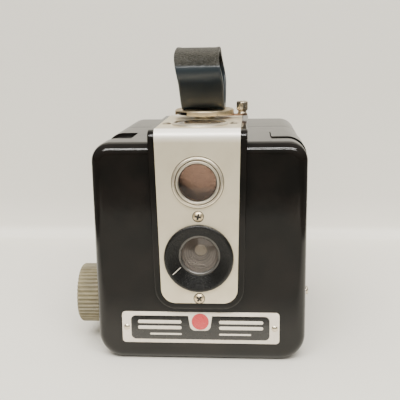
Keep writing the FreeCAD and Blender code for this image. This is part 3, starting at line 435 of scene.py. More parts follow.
def ramp(tree, source, low, high, out_low, out_high):
    """Maps part of a 0-to-1 value onto another range."""
    return add(tree, "ShaderNodeMapRange", {
        "From Min": low, "From Max": high, "To Min": out_low, "To Max": out_high}, Value=source,
    ).outputs["Result"]


def blend_colours(tree, factor, first, second):
    """Mixes two colours, each of them a value or another node's output."""
    node = add(tree, "ShaderNodeMix", {"data_type": "RGBA"})
    for source, place in ((factor, 0), (first, 6), (second, 7)):
        if isinstance(source, bpy.types.NodeSocket):
            tree.links.new(source, node.inputs[place])
        else:
            node.inputs[place].default_value = source
    return node.outputs[2]


def combined(tree, operation, first, second):
    """The result of a sum or comparison of two values."""
    node = add(tree, "ShaderNodeMath", {"operation": operation})
    tree.links.new(first, node.inputs[0])
    tree.links.new(second, node.inputs[1])
    return node.outputs[0]


def noise(tree, place, mm, detail, **settings):
    """Noise whose features are so many millimetres across."""
    return add(
        tree, "ShaderNodeTexNoise", {"Scale": every(mm), "Detail": detail, **settings},
        Vector=place)


def dent(tree, shader, height, strength, depth_mm):
    """Dents a shader's surface by a height from 0 to 1."""
    bump = add(
        tree, "ShaderNodeBump", {"Strength": strength, "Distance": depth_mm * MM}, Height=height)
    tree.links.new(bump.outputs["Normal"], shader.inputs["Normal"])
    return bump


def bakelite():
    """Black phenolic, compression moulded in polished steel: a deep gloss with faint handling marks."""
    tint = tuple(settings("box_shell").tint)
    material, tree, shader, place = start(
        "bakelite_moulded_black", {"IOR": 1.5, "Specular IOR Level": 0.38})
    cloud = noise(tree, place, 14, 4.0)
    warm = linear("#1a1613")
    base = blend_colours(tree, ramp(tree, cloud.outputs["Fac"], 0.4, 0.75, 0, 1), tint, warm)
    tree.links.new(base, shader.inputs["Base Color"])
    # Rubbed patches a few millimetres across, with hairline scratches inside them.
    rub = noise(tree, place, 5, 6.0, Roughness=0.65)
    tree.links.new(
        ramp(tree, rub.outputs["Fac"], 0.35, 0.75, 0.07, 0.17), shader.inputs["Roughness"])
    peel = noise(tree, place, 2.2, 1.0)
    grit = noise(tree, place, 0.35, 2.0)
    height = add(tree, "ShaderNodeMath", {"operation": "MULTIPLY_ADD"})
    tree.links.new(grit.outputs["Fac"], height.inputs[0])
    height.inputs[1].default_value = 0.12
    tree.links.new(peel.outputs["Fac"], height.inputs[2])
    dent(tree, shader, height.outputs[0], 0.25, 0.03)
    return material


def anodised_sheet():
    """Satin anodised aluminium, champagne: a soft even sheen with a very fine vertical grain."""
    tint = tuple(settings("box_plate").tint)
    material, tree, shader, place = start("aluminium_satin_champagne", {})
    # The rolling grain is about 0.08 mm, drawn at 0.3 mm across so that it shows.
    stretch = add(tree, "ShaderNodeMapping", {"Scale": (1.0, 1.0, 0.06)}, Vector=place)
    grain = noise(tree, stretch.outputs[0], 0.3, 3.0)
    stain = noise(tree, place, 9, 4.0)
    dull = linear("#ebdcbe")
    base = blend_colours(tree, ramp(tree, stain.outputs["Fac"], 0.45, 0.8, 0, 0.8), tint, dull)
    # The fold is painted pale and less metallic: a painted highlight along the bend.
    spot = add(tree, "ShaderNodeSeparateXYZ", {}, Vector=place)
    high = ramp(tree, spot.outputs["Z"], (PLATE_TOP_Z - 5.5) * MM, (PLATE_TOP_Z - 2.0) * MM, 0, 1)
    near = ramp(
        tree, spot.outputs["Y"], (PLATE_FRONT_Y + 6.0) * MM, (PLATE_FRONT_Y + 2.5) * MM, 0, 1)
    fold = combined(tree, "MULTIPLY", high, near)
    tree.links.new(blend_colours(tree, fold, base, linear("#fffaf0")), shader.inputs["Base Color"])
    tree.links.new(ramp(tree, fold, 0, 1, 0.7, 0.25), shader.inputs["Metallic"])
    tree.links.new(
        ramp(tree, grain.outputs["Fac"], 0.3, 0.7, 0.34, 0.44), shader.inputs["Roughness"])
    dent(tree, shader, grain.outputs["Fac"], 0.12, 0.02)
    return material


def worn_metal(name, tint, tarnish, roughness, amount, dents=0.02):
    """A plated or bare metal whose bright surface is broken by darker tarnish."""
    material, tree, shader, place = start(name, {"Metallic": 1.0})
    spots = noise(tree, place, 2.4, 6.0, Roughness=0.6)
    mask = ramp(tree, spots.outputs["Fac"], 0.62 - amount / 2, 0.72, 0, 1)
    tree.links.new(blend_colours(tree, mask, tint, tarnish), shader.inputs["Base Color"])
    tree.links.new(
        ramp(tree, spots.outputs["Fac"], 0.3, 0.7, roughness, roughness + 0.18),
        shader.inputs["Roughness"])
    scuff = noise(tree, place, 0.5, 3.0)
    dent(tree, shader, scuff.outputs["Fac"], 0.15, dents)
    return material


def moulded_plastic(name, tint, shade, roughness, grain_mm):
    """Injection-moulded or pressed plastic with slight colour streaks and a fine grain."""
    material, tree, shader, place = start(name, {"IOR": 1.5})
    streak = noise(tree, place, 6, 5.0, Distortion=0.6)
    tree.links.new(
        blend_colours(tree, ramp(tree, streak.outputs["Fac"], 0.35, 0.7, 0, 1), tint, shade),
        shader.inputs["Base Color"])
    grain = noise(tree, place, grain_mm, 3.0)
    tree.links.new(
        ramp(tree, grain.outputs["Fac"], 0.3, 0.7, roughness, roughness + 0.12),
        shader.inputs["Roughness"])
    dent(tree, shader, grain.outputs["Fac"], 0.2, 0.03)
    return material


def strap_vinyl():
    """Stiff vinyl: glossy and smooth on the legs, embossed with a pebble grain over the top."""
    tint = tuple(settings("box_trim").strap)
    material, tree, shader, place = start("vinyl_embossed_black", {"IOR": 1.52})
    level = add(tree, "ShaderNodeSeparateXYZ", {}, Vector=place).outputs["Z"]
    # The smooth legs give way to the embossed top within this millimetre of height.
    shoulder = (0.1236, 0.1246)
    grip = ramp(tree, level, *shoulder, 0, 1)
    pebble = add(
        tree, "ShaderNodeTexVoronoi", {"Scale": every(1.0), "Randomness": 1.0}, Vector=place)
    dust = noise(tree, place, 3.5, 5.0)
    worn = blend_colours(
        tree, ramp(tree, dust.outputs["Fac"], 0.35, 0.7, 0, 1), linear("#25241f"),
        linear("#35332d"))
    tree.links.new(blend_colours(tree, grip, tint, worn), shader.inputs["Base Color"])
    tree.links.new(ramp(tree, level, *shoulder, 0.36, 0.38), shader.inputs["Roughness"])
    tree.links.new(ramp(tree, level, *shoulder, 0.5, 0.18), shader.inputs["Specular IOR Level"])
    raised = combined(tree, "MULTIPLY", pebble.outputs["Distance"], grip)
    dent(tree, shader, raised, 1.0, 0.5).invert = True
    return material


def clear_glass(name, tint, roughness=0.02):
    """Polished crown glass with a trace of dust in its roughness."""
    material, tree, shader, place = start(name, {
        "Base Color": tint, "IOR": 1.52, "Transmission Weight": 1.0})
    dust = noise(tree, place, 1.5, 5.0)
    tree.links.new(
        ramp(tree, dust.outputs["Fac"], 0.55, 0.8, roughness, roughness + 0.06),
        shader.inputs["Roughness"])
    return material


def enamel(name, tint):
    """Stoved enamel: smooth, glossy and slightly wavy."""
    material, tree, shader, place = start(
        name, {"IOR": 1.55, "Coat Weight": 0.4, "Coat Roughness": 0.05})
    wave = noise(tree, place, 3, 3.0)
    darker = tuple(c * 0.8 for c in tint[:3]) + (1.0,)
    tree.links.new(
        blend_colours(tree, wave.outputs["Fac"], tint, darker), shader.inputs["Base Color"])
    tree.links.new(
        ramp(tree, wave.outputs["Fac"], 0.3, 0.7, 0.22, 0.34), shader.inputs["Roughness"])
    dent(tree, shader, wave.outputs["Fac"], 0.1, 0.02)
    return material


def turned_lacquer():
    """Matt lacquer over turned metal: rings of lighter and darker mauve grey about the lens axis."""
    material, tree, shader, place = start("barrel_lacquer_turned", {"IOR": 1.45, "Roughness": 0.6})
    centred = add(tree, "ShaderNodeMapping", {"Location": (0.0, 0.0, -LENS_Z * MM)}, Vector=place)
    # A wave of scale 1 repeats every 0.314 m; the tool marks are drawn 0.85 mm apart.
    rings = add(tree, "ShaderNodeTexWave", {
        "wave_type": "RINGS", "rings_direction": "Y", "Scale": 314.0 / 0.85, "Distortion": 0.6,
        "Detail": 2.0,
    }, Vector=centred.outputs[0])
    tree.links.new(
        blend_colours(tree, rings.outputs["Fac"], linear("#7b716d"), linear("#938882")),
        shader.inputs["Base Color"])
    dent(tree, shader, rings.outputs["Fac"], 0.3, 0.05)
    return material


MATERIALS = {}


def material(name):
    """The named material, made the first time that it is asked for."""
    trim_colours = settings("box_trim")
    makers = {
        "bakelite": bakelite,
        "sheet": anodised_sheet,
        "nickel": lambda: worn_metal(
            "nickel_plate_worn", tuple(trim_colours.nickel), linear("#a08a68"), 0.22, 0.1),
        "copper": lambda: worn_metal(
            "copper_flash_steel", linear("#b08a75"), linear("#6d4a3a"), 0.28, 0.2),
        "steel": lambda: worn_metal(
            "steel_rolled_bare", linear("#a8a6a0"), linear("#77726a"), 0.3, 0.1),
        "black_steel": lambda: moulded_plastic(
            "steel_stoved_black", linear("#1c1b1a"), linear("#2a2725"), 0.5, 0.4),
        "spool": lambda: moulded_plastic(
            "spool_lacquer_black", linear("#17171a"), linear("#24242a"), 0.3, 0.5),
        "knob": lambda: moulded_plastic(
            "plastic_moulded_taupe", tuple(trim_colours.knob), linear("#766d55"), 0.4, 0.5),
        "fibre": lambda: moulded_plastic(
            "fibre_washer_pale", linear("#a89c80"), linear("#8f8468"), 0.6, 0.4),
        "strap": strap_vinyl,
        "glass": lambda: clear_glass("crown_glass_polished", linear("#f4f1ea")),
        "smoky_glass": lambda: clear_glass("finder_top_glass_smoky", linear("#b5aca3")),
        "finder_glass": lambda: clear_glass("finder_glass_aged", linear("#b5a398")),
        "red_glass": lambda: moulded_plastic(
            "acetate_window_red", linear("#7c0e0c"), linear("#560a08"), 0.1, 0.8),
        "mirror": lambda: worn_metal(
            "silvered_mirror_aged", linear("#a99d95"), linear("#9c9087"), 0.12, -0.1, 0.0005),
        "enamel_black": lambda: enamel("enamel_stoved_black", linear("#171614")),
        "enamel_red": lambda: enamel("enamel_stoved_red", tuple(trim_colours.dot)),
        "rim": lambda: worn_metal(
            "aluminium_rim_burnished", linear("#fbf0dc"), linear("#ddd0b8"), 0.32, 0.1, 0.003),
        "ring": lambda: worn_metal(
            "lens_ring_satin", linear("#7d7a76"), linear("#5f5b56"), 0.35, 0.1),
        "barrel": turned_lacquer,
        "bezel": lambda: moulded_plastic(
            "phenolic_turned_satin", linear("#0c0c0b"), linear("#151413"), 0.24, 0.5),
        "satin_nickel": lambda: worn_metal(
            "nickel_plate_satin", linear("#ecd9b6"), linear("#a8946f"), 0.34, 0.1, 0.004),
        "housing": lambda: moulded_plastic(
            "tinplate_lacquer_olive", linear("#e9dcbf"), linear("#cdbf9f"), 0.5, 0.4),
        "blade": lambda: worn_metal(
            "shutter_blade_matt", linear("#c9bdb0"), linear("#a2968a"), 0.45, 0.1),
        "name_border": lambda: enamel("nameplate_lacquer_cream", linear("#efe3d0")),
        "cream": lambda: enamel("enamel_stoved_cream", linear("#e9dfce")),
    }
    if name not in MATERIALS:
        MATERIALS[name] = makers[name]()
    return MATERIALS[name]


# ---- the moulded body ---------------------------------------------------------------------------

SEAM_GAP = 0.3
LIP_LENGTH = 3.0
LIP_INSET = 1.3
FRONT_END_Y = high_mm("front_shell").y - LIP_LENGTH
PLATE_GAP = 0.25
# Height of each faceplate screw, and the turn of its cross in degrees.
SCREWS = ((64.5, 12), (29.4, 38))
BUTTON_FRONT_Y = FRONT_Y + 16.0
BUTTON_BACK_Y = FRONT_Y + 36.0
BUTTON_INNER_X = 29.6
BUTTON_LOW_Z = 78.0
BUTTON_TRAVEL = 4.0
RELEASE_DROP = 1.5
CONTACT_Y = middle_mm("flash_socket").y
SOCKET_Z = middle_mm("flash_socket").z
STUD_Z = middle_mm("flash_stud").z
CATCH_RIVET_YS = (16.0, 23.0)
TOP_LENS_R = 10.6
FINDER_GLASS_R = 7.75
BEZEL_R = 14.4


def rounded_section(name, inset, y0, y1, segments=14):
    """The body's rounded section, drawn in by an inset, between two planes."""
    shell = settings("box_shell")
    piece = block(name, (inset - HALF_WIDTH, y0, inset), (HALF_WIDTH - inset, y1, HEIGHT - inset))
    lengthwise = runs_along("Y")
    round_edges(
        piece, lambda e: lengthwise(e) and tips(e)[0].z > LENS_Z, shell.corner / MM - inset,
        segments)
    return round_edges(
        piece, lambda e: lengthwise(e) and tips(e)[0].z < inset + 1, shell.foot / MM - inset,
        segments)


def outline_prism(name, grow, y0, y1):
    """The faceplate's tapered outline, grown all round, as a solid from front to back."""
    plate = settings("box_plate")
    top_half = plate.top_half / MM + grow
    low_half = plate.low_half / MM + grow
    piece = block(name, (-top_half, y0, PLATE_LOW_Z - grow), (top_half, y1, HOUSING_TOP_Z + 6))
    pick(piece, "VERT", lambda v: v.co.z < LENS_Z)
    bpy.ops.transform.resize(value=(low_half / top_half, 1, 1), center_override=(0, 0, 0))
    leave()
    return round_edges(
        piece, lambda e: runs_along("Y")(e) and tips(e)[0].z < LENS_Z, plate.corner / MM + grow, 12)


def bent_block(name, front_y, top_z, bend, end_y, low_z):
    """A block whose front top edge is rounded like the fold in the faceplate."""
    piece = block(name, (-40, front_y, low_z), (40, end_y, top_z))
    return round_edges(
        piece,
        lambda e: runs_along("X")(e) and tips(e)[0].y < front_y + 1 and tips(e)[0].z > top_z - 1,
        bend, 12)


def sheet_block(name, gap, thick, end_y):
    """What the bent sheet takes up, with a gap round it: a skin on the housing's front and top."""
    bend = settings("box_plate").bend / MM
    skin = bent_block(name, HOUSING_FRONT_Y - 2, HOUSING_TOP_Z + 3, 0.5, end_y, 15)
    core = bent_block(
        "core", PLATE_FRONT_Y + thick, PLATE_TOP_Z - thick, bend - thick, end_y + 5, 10)
    cut(skin, core)
    return trim(skin, outline_prism("outline", gap, HOUSING_FRONT_Y - 3, end_y + 1))


def button_slot(piece, side):
    """Cuts the corner opening that a button rides in."""
    top = sorted((side * BUTTON_INNER_X, side * (HALF_WIDTH + 5)))
    flank = sorted((side * (HALF_WIDTH - 4.6), side * (HALF_WIDTH + 5)))
    cut(
        piece,
        block("slot", (top[0], BUTTON_FRONT_Y, HEIGHT - 4.6), (top[1], BUTTON_BACK_Y, HEIGHT + 1)))
    low = BUTTON_LOW_Z - (BUTTON_TRAVEL + RELEASE_DROP + 0.7 if side < 0 else 0.35)
    cut(piece, block("slot", (flank[0], BUTTON_FRONT_Y, low), (flank[1], BUTTON_BACK_Y, HEIGHT)))


def front_shell():
    shell = settings("box_shell")
    plate = settings("box_plate")
    wall = shell.wall / MM
    piece = rounded_section("front_shell_moulding", 0, FRONT_Y, FRONT_END_Y)
    round_edges(piece, on_plane("Y", FRONT_END_Y), 0.35, 2)
    round_edges(piece, on_plane("Y", FRONT_Y), shell.front / MM, 12)
    housing = bent_block(
        "housing", HOUSING_FRONT_Y, HOUSING_TOP_Z, plate.bend / MM + 0.2, FRONT_END_Y - 0.02,
        PLATE_LOW_Z - 12)
    surround = plate.surround / MM
    trim(housing, outline_prism("outline", surround, HOUSING_FRONT_Y - 1, FRONT_END_Y + 1))
    round_edges(
        housing, lambda e: sharp(60)(e) and min(p.y for p in tips(e)) < FRONT_END_Y - 3, 0.55, 3)
    fuse(piece, housing)
    chain = sharp(25, -1)
    round_edges(piece, lambda e: chain(e) and max(p.y for p in tips(e)) < FRONT_END_Y + 1, 0.8, 3)
    cut(piece, sheet_block("recess", PLATE_GAP, plate.thick / MM, PLATE_END_Y + PLATE_GAP))
    fuse(piece, rounded_section("lip", LIP_INSET, FRONT_END_Y - 1, FRONT_END_Y + LIP_LENGTH))
    cut(piece, rounded_section("cavity", wall, FRONT_Y + wall, SPLIT_Y + 20))
    cut(piece, block("finder_cavity", (-13.4, FRONT_Y - 0.3, 65.0), (13.4, -22.7, 97.2)))
    behind = FRONT_Y + wall + 1
    cut(piece, rod("hole", (0, 0, LENS_Z), BEZEL_R - 0.8, HOUSING_FRONT_Y - 1, behind, "Y"))
    cut(
        piece,
        rod("hole", (0, 0, FINDER_Z), FINDER_GLASS_R + 0.6, HOUSING_FRONT_Y - 1, FRONT_Y + 6, "Y"))
    cut(piece, rod("hole", (0, TOP_LENS_Y, 0), TOP_LENS_R - 0.4, HEIGHT - 6, PLATE_TOP_Z, "Z"))
    for side in (-1, 1):
        button_slot(piece, side)
    round_edges(
        piece,
        lambda e: on_plane("Y", BUTTON_FRONT_Y)(e) and sharp(60)(e) and all(
            p.z > HEIGHT - 12 and (p.z > HEIGHT - 2.5 or abs(p.x) > HALF_WIDTH - 2.5) for p in tips(e)),
        0.9, 4)
    cut(piece, rod("hole", (0, KNOB.y, KNOB.z), 4.0, -HALF_WIDTH - 5, -HALF_WIDTH + wall + 1, "X"))
    for z in (SOCKET_Z, STUD_Z):
        cut(piece, rod("hole", (0, CONTACT_Y, z), 2.6, HALF_WIDTH - wall - 1, HALF_WIDTH + 5, "X"))
    cut(piece, rod("hole", (0, DISC_Y, 0), 1.6, HEIGHT - wall - 1, HOUSING_TOP_Z + 1, "Z"))
    return piece


def rear_shell():
    shell = settings("box_shell")
    wall = shell.wall / MM
    window_z = middle_mm("red_window").z
    piece = rounded_section("rear_shell_moulding", 0, SPLIT_Y, BACK_Y)
    round_edges(piece, on_plane("Y", SPLIT_Y), 0.35, 2)
    round_edges(piece, on_plane("Y", BACK_Y), shell.back / MM, 12)
    cut(piece, rounded_section("cavity", wall, SPLIT_Y - 1, BACK_Y - wall))
    cut(piece, rounded_section("rebate", LIP_INSET - SEAM_GAP, SPLIT_Y - 1, SPLIT_Y + LIP_LENGTH))
    cut(piece, rod("hole", (0, 0, window_z), 7.5, BACK_Y - wall - 1, BACK_Y + 1, "Y", 96))
    round_edges(
        piece, lambda e: on_plane("Y", BACK_Y)(e) and all(
            math.hypot(p.x, p.z - window_z) < 8 for p in tips(e)),
        0.45, 3)
    ring = rod("ring", (0, 0, window_z), 11.2, BACK_Y - 0.4, BACK_Y + 1, "Y", 96)
    cut(ring, rod("core", (0, 0, window_z), 10.4, BACK_Y - 2, BACK_Y + 2, "Y", 96))
    cut(piece, ring)
    frame_line = rounded_section("panel", 6.5, BACK_Y - 0.35, BACK_Y + 1)
    cut(frame_line, rounded_section("core", 7.2, BACK_Y - 2, BACK_Y + 2))
    cut(piece, frame_line)
    for y in CATCH_RIVET_YS:
        cut(piece, rod("hole", (0, y, 0), 1.2, HEIGHT - wall - 1, HEIGHT + 1, "Z", 32))
    return piece


def corner_button(name, side, drop, ribs):
    """A block that wraps over the top corner of the body and slides in its slot."""
    wall = settings("box_shell").wall / MM
    gap = 0.35
    y0 = BUTTON_FRONT_Y + gap
    y1 = BUTTON_BACK_Y - gap
    reach = sorted((side * (BUTTON_INNER_X + gap), side * (HALF_WIDTH + 1)))
    piece = rounded_section(name, 0 if ribs else -0.5, y0, y1)
    cut(piece, rounded_section("hollow", wall, y0 - 1, y1 + 1))
    trim(piece, block("keep", (reach[0], y0 - 1, BUTTON_LOW_Z), (reach[1], y1 + 1, HEIGHT + 2)))
    for i in range(ribs):
        y = y0 + 1.4 + i * 2.7
        groove = block(
            "groove", (reach[0] - 1, y, BUTTON_LOW_Z - 1), (reach[1] + 1, y + 0.9, HEIGHT + 1))
        cut(groove, rounded_section("floor", 0.6, y - 1, y + 2))
        cut(piece, groove)
    round_edges(piece, sharp(60), 0.18, 2)
    stem = sorted((side * (HALF_WIDTH - wall - 1.8), side * (HALF_WIDTH - wall + 0.2)))
    fuse(piece, block("stem", (stem[0], y0 + 4, 70 + drop), (stem[1], y1 - 8, HEIGHT - 8)))
    piece.location.z = -drop
    return settle(piece)


class BOXCAM_OT_front_shell(bpy.types.Operator):
    """Front half of the body with its raised housing and the openings for the pieces it carries"""
    bl_idname = "boxcam.front_shell"
    bl_label = "Front shell"

    def execute(self, context):
        finish(front_shell(), "body", "bakelite", ["front_shell"], weighted=True)
        return {"FINISHED"}


class BOXCAM_OT_rear_shell(bpy.types.Operator):
    """Rear half of the body with the hole for its window"""
    bl_idname = "boxcam.rear_shell"
    bl_label = "Rear shell"

    def execute(self, context):
        finish(rear_shell(), "rear", "bakelite", ["rear_shell"], weighted=True)
        return {"FINISHED"}


class BOXCAM_OT_corner_buttons(bpy.types.Operator):
    """Ribbed release on the left corner and smooth time button on the right one"""
    bl_idname = "boxcam.corner_buttons"
    bl_label = "Corner buttons"

    def execute(self, context):
        release = corner_button("release_button_ribbed", -1, RELEASE_DROP, 7)
        finish(release, "release", "bakelite", ["release_button"], weighted=True)
        lever = corner_button("time_button_smooth", 1, 0, 0)
        finish(lever, "time_lever", "bakelite", ["time_button"], weighted=True)
        return {"FINISHED"}


# ---- faceplate and its fixings ------------------------------------------------------------------

def faceplate():
    plate = settings("box_plate")
    thick = plate.thick / MM
    sheet = bent_block(
        "faceplate_sheet", PLATE_FRONT_Y, PLATE_TOP_Z, plate.bend / MM, PLATE_END_Y, 20)
    cut(sheet, bent_block(
        "core", PLATE_FRONT_Y + thick, PLATE_TOP_Z - thick, plate.bend / MM - thick,
        PLATE_END_Y + 1, 19))
    trim(sheet, outline_prism("outline", 0, PLATE_FRONT_Y - 1, PLATE_END_Y + 1))
    cut(sheet, rod("hole", (0, 0, LENS_Z), BEZEL_R - 0.8, PLATE_FRONT_Y - 1, FRONT_Y, "Y", 96))
    cut(
        sheet,
        rod("hole", (0, 0, FINDER_Z), FINDER_GLASS_R + 0.6, PLATE_FRONT_Y - 1, FRONT_Y, "Y", 96))
    cut(sheet, rod("hole", (0, TOP_LENS_Y, 0), TOP_LENS_R - 0.4, HEIGHT, PLATE_TOP_Z + 1, "Z", 96))
    cut(sheet, rod("hole", (0, DISC_Y, 0), 1.6, HEIGHT, PLATE_TOP_Z + 1, "Z", 32))
    round_edges(sheet, sharp(60), 0.16, 2)
    return sheet


def cross(name, z, front, back, reach, turn):
    """Two crossed bars, as the recess of a screw and as the painted shadow at its bottom."""
    piece = block(name, (-reach, front, -0.42), (reach, back, 0.42))
    fuse(piece, block("bar", (-0.42, front, -reach), (0.42, back - 0.02, reach)))
    piece.rotation_euler.y = math.radians(turn)
    piece.location.z = z
    return settle(piece)


def cross_screw(name, z, turn):
    """A domed head with a cross recess."""
    head = lathe(
        name, [(0, PLATE_FRONT_Y + 0.9), (2.15, PLATE_FRONT_Y + 0.9)] + cap(
            2.15, 1.0, PLATE_FRONT_Y, -1, 12),
        (0, 0, z), "Y", steps=48)
    cut(head, cross("slot", z, PLATE_FRONT_Y - 1.6, PLATE_FRONT_Y + 0.4, 1.3, turn))
    return round_edges(
        head, lambda e: sharp(40)(e) and max(p.y for p in tips(e)) < PLATE_FRONT_Y - 0.5, 0.06, 2)


def seam_ring(radius, width, y0, y1, z):
    """A thin dark ring: painted shade in the gap where a round piece meets the sheet."""
    outline = [(radius, y0), (radius + width, y0), (radius + width, y1), (radius, y1)]
    return lathe("plate_seam_shade_rings", outline, (0, 0, z), "Y")


class BOXCAM_OT_faceplate(bpy.types.Operator):
    """Bent aluminium sheet, its two screws and its two rivets"""
    bl_idname = "boxcam.faceplate"
    bl_label = "Faceplate"

    def execute(self, context):
        finish(faceplate(), "body", "sheet", ["faceplate"], weighted=True)
        screws = join(
            [cross_screw("faceplate_screws_cross", z, turn) for z, turn in SCREWS],
            "faceplate_screws_cross")
        finish(screws, "body", "satin_nickel", ["faceplate_screws"])
        # Dark crosses at the bottom of the screw recesses: painted shadow.
        recess_shades = [
            cross("recess_shades", z, PLATE_FRONT_Y - 0.62, PLATE_FRONT_Y + 0.38, 1.28, turn) for z,
            turn in SCREWS]
        finish(join(recess_shades, "faceplate_screw_shadow_fill"), "body", "black_steel")
        # Thin dark rings round the screws, in the finder ring's groove and at its glass: painted shade in the
        # gaps.
        flush = PLATE_FRONT_Y - 0.03
        rings = [seam_ring(2.13, 0.26, flush, flush + 0.2, z) for z, turn in SCREWS]
        rings.append(seam_ring(10.43, 0.3, flush, flush + 0.2, FINDER_Z))
        rings.append(seam_ring(8.92, 0.3, PLATE_FRONT_Y - 0.42, PLATE_FRONT_Y - 0.3, FINDER_Z))
        rings.append(seam_ring(7.5, 0.26, PLATE_FRONT_Y - 0.3, PLATE_FRONT_Y - 0.05, FINDER_Z))
        finish(join(rings, "plate_seam_shade_rings"), "body", "black_steel")
        outline = [(0, PLATE_TOP_Z - 0.3), (2.05, PLATE_TOP_Z - 0.3)] + cap(
            2.05, 0.75, PLATE_TOP_Z, 1)
        rivet_x = 14.5
        rivet_y = FRONT_Y + 18.5
        first = lathe("faceplate_rivets_domed", outline, (-rivet_x, rivet_y, 0), "Z", steps=40)
        second = copy_to(first, "rivet", (2 * rivet_x, 0, 0))
        rivets = join([first, second], "faceplate_rivets_domed")
        finish(rivets, "body", "nickel", ["faceplate_rivets"])
        return {"FINISHED"}


# ---- finder and taking lens ---------------------------------------------------------------------

def finder_bezel():
    y = PLATE_FRONT_Y
    outline = [
        (7.75, y + 0.6), (7.75, y - 0.45), (8.05, y - 1.05), (8.75, y - 1.05), (8.9, y - 0.35),
        (9.25, y - 0.35), (9.45, y - 1.0), (10.05, y - 1.0), (10.45, y - 0.6), (10.45, y),
        (8.6, y), (8.3, y + 0.6),
    ]
    return lathe("finder_bezel_double", outline, (0, 0, FINDER_Z), "Y", 0.14, 128)


def finder_front_lens():
    y = PLATE_FRONT_Y
    outline = [(0, y + 1.6), (7.7, y + 1.6), (7.7, y)] + cap(7.65, 0.5, y, -1, 12)
    return lathe("finder_lens_front", outline, (0, 0, FINDER_Z), "Y")


def finder_top_rim():
    z = PLATE_TOP_Z
    outline = [
        (10.6, z - 0.3), (10.6, z + 0.85), (11.0, z + 1.1), (11.35, z + 1.0), (12.0, z + 0.35),
        (12.0, z - 0.05)]
    return lathe("finder_rim_top", outline, (0, TOP_LENS_Y, 0), "Z", 0.1, 128)


def finder_top_lens():
    z = PLATE_TOP_Z
    outline = [(0, z - 2.8), (10.2, z - 2.8), (10.2, z), (10.55, z), (10.55, z + 0.6)] + cap(
        10.5, 1.4, z + 0.6, 1, 16)
    return lathe("finder_lens_top", outline, (0, TOP_LENS_Y, 0), "Z")


BEZEL_FRONT_Y = PLATE_FRONT_Y - 1.4
DISH_DEPTH = 5.3
DISH_R = BEZEL_R - 1.7
LENS_RING_R = 8.7
LENS_FACE_Y = BEZEL_FRONT_Y + DISH_DEPTH


def lens_bezel():
    """A dished ring with fine steps down its inner slope."""
    front = BEZEL_FRONT_Y
    steps = 9
    run = (LENS_FACE_Y - front) / steps
    drop = (DISH_R - LENS_RING_R) / steps
    outline = [
        (BEZEL_R, PLATE_FRONT_Y), (BEZEL_R, front + 0.75), (BEZEL_R - 0.25, front + 0.25),
        (BEZEL_R - 0.8, front), (DISH_R, front + 0.05)]
    for i in range(steps):
        radius = DISH_R - i * drop
        outline.append((radius - 0.06, front + (i + 0.8) * run))
        outline.append((radius - drop, front + (i + 1) * run - 0.1))
    outline += [
        (LENS_RING_R, FRONT_Y + 3.4), (BEZEL_R - 0.9, FRONT_Y + 3.4),
        (BEZEL_R - 0.9, PLATE_FRONT_Y)]
    return lathe("lens_bezel_stepped", outline, (0, 0, LENS_Z), "Y", 0.05, 160)


def lens_ring():
    y = LENS_FACE_Y
    outline = [
        (LENS_RING_R, y), (LENS_RING_R, y + 0.8), (7.6, y + 0.8), (7.6, y + 0.45), (7.95, y + 0.1)]
    return lathe("lens_ring_turned", outline, (0, 0, LENS_Z), "Y", 0.06, 128)


def meniscus():
    """Both faces bulge forwards, and the rear one is the steeper."""
    y = LENS_FACE_Y + 0.8
    back = cap(7.8, 1.2, y + 2.1, -1, 12)[::-1]
    outline = back + [(8.5, y + 1.9), (8.5, y)] + cap(7.5, 0.7, y, -1, 12)
    return lathe("lens_meniscus_glass", outline, (0, 0, LENS_Z), "Y")


def lens_barrel():
    """Stepped cone from the lens down to the aperture."""
    front = LENS_FACE_Y + 2.4
    back = LENS_FACE_Y + 8.5
    steps = 9
    mouth = 7.6
    throat = 3.4
    fall = (mouth - throat) / steps
    outline = [(12.6, front + 2.6), (8.5, front + 2.6), (8.5, front), (mouth, front)]
    for i in range(steps):
        level = front + (i + 0.8) * (back - front) / steps
        outline.append((mouth - i * fall, level))
        outline.append((mouth - (i + 1) * fall, level))
    outline += [(throat, back), (12.6, back)]
    return lathe("lens_barrel_stepped", outline, (0, 0, LENS_Z), "Y", 0.06, 96)


def index_line():
    """A pale filled line down the dish of the bezel, at the lower left."""
    front = BEZEL_FRONT_Y
    turn = math.radians(212)
    outward = Vector((math.cos(turn), 0, math.sin(turn)))
    outer = outward * (BEZEL_R - 1.75) + Vector((0, front + 0.12, LENS_Z))
    end_r = 9.3
    sunk = (DISH_R - end_r) * DISH_DEPTH / (DISH_R - LENS_RING_R)
    inner = outward * end_r + Vector((0, front + sunk, LENS_Z))
    run = (inner - outer).normalized()
    across = run.cross(outward).normalized()
    piece = block("lens_index_line", (-0.13, -0.12, 0), (0.13, 0.12, (inner - outer).length))
    piece.matrix_world = Matrix.Translation(outer) @ Matrix((across, run.cross(across), run)).transposed().to_4x4()
    return round_edges(settle(piece), lambda e: True, 0.05, 2)


class BOXCAM_OT_finder(bpy.types.Operator):
    """Finder window, its double ring, the top lens and its rim"""
    bl_idname = "boxcam.finder"
    bl_label = "Finder"

    def execute(self, context):
        finish(finder_bezel(), "body", "rim", ["finder_bezel"])
        finish(finder_front_lens(), "body", "finder_glass", ["finder_front_lens"])
        finish(finder_top_rim(), "body", "rim", ["finder_top_rim"])
        finish(finder_top_lens(), "body", "smoky_glass", ["finder_top_lens"])
        return {"FINISHED"}


class BOXCAM_OT_taking_lens(bpy.types.Operator):
    """Dished bezel, retaining ring, meniscus lens and stepped barrel"""
    bl_idname = "boxcam.taking_lens"
    bl_label = "Taking lens"

    def execute(self, context):
        finish(lens_bezel(), "body", "bezel", ["lens_bezel"])
        finish(index_line(), "body", "cream")
        finish(lens_ring(), "body", "ring", ["lens_retaining_ring"])
        finish(meniscus(), "body", "glass", ["meniscus_lens"])
        finish(lens_barrel(), "body", "barrel", ["lens_barrel"])
        return {"FINISHED"}


# ---- knobs --------------------------------------------------------------------------------------

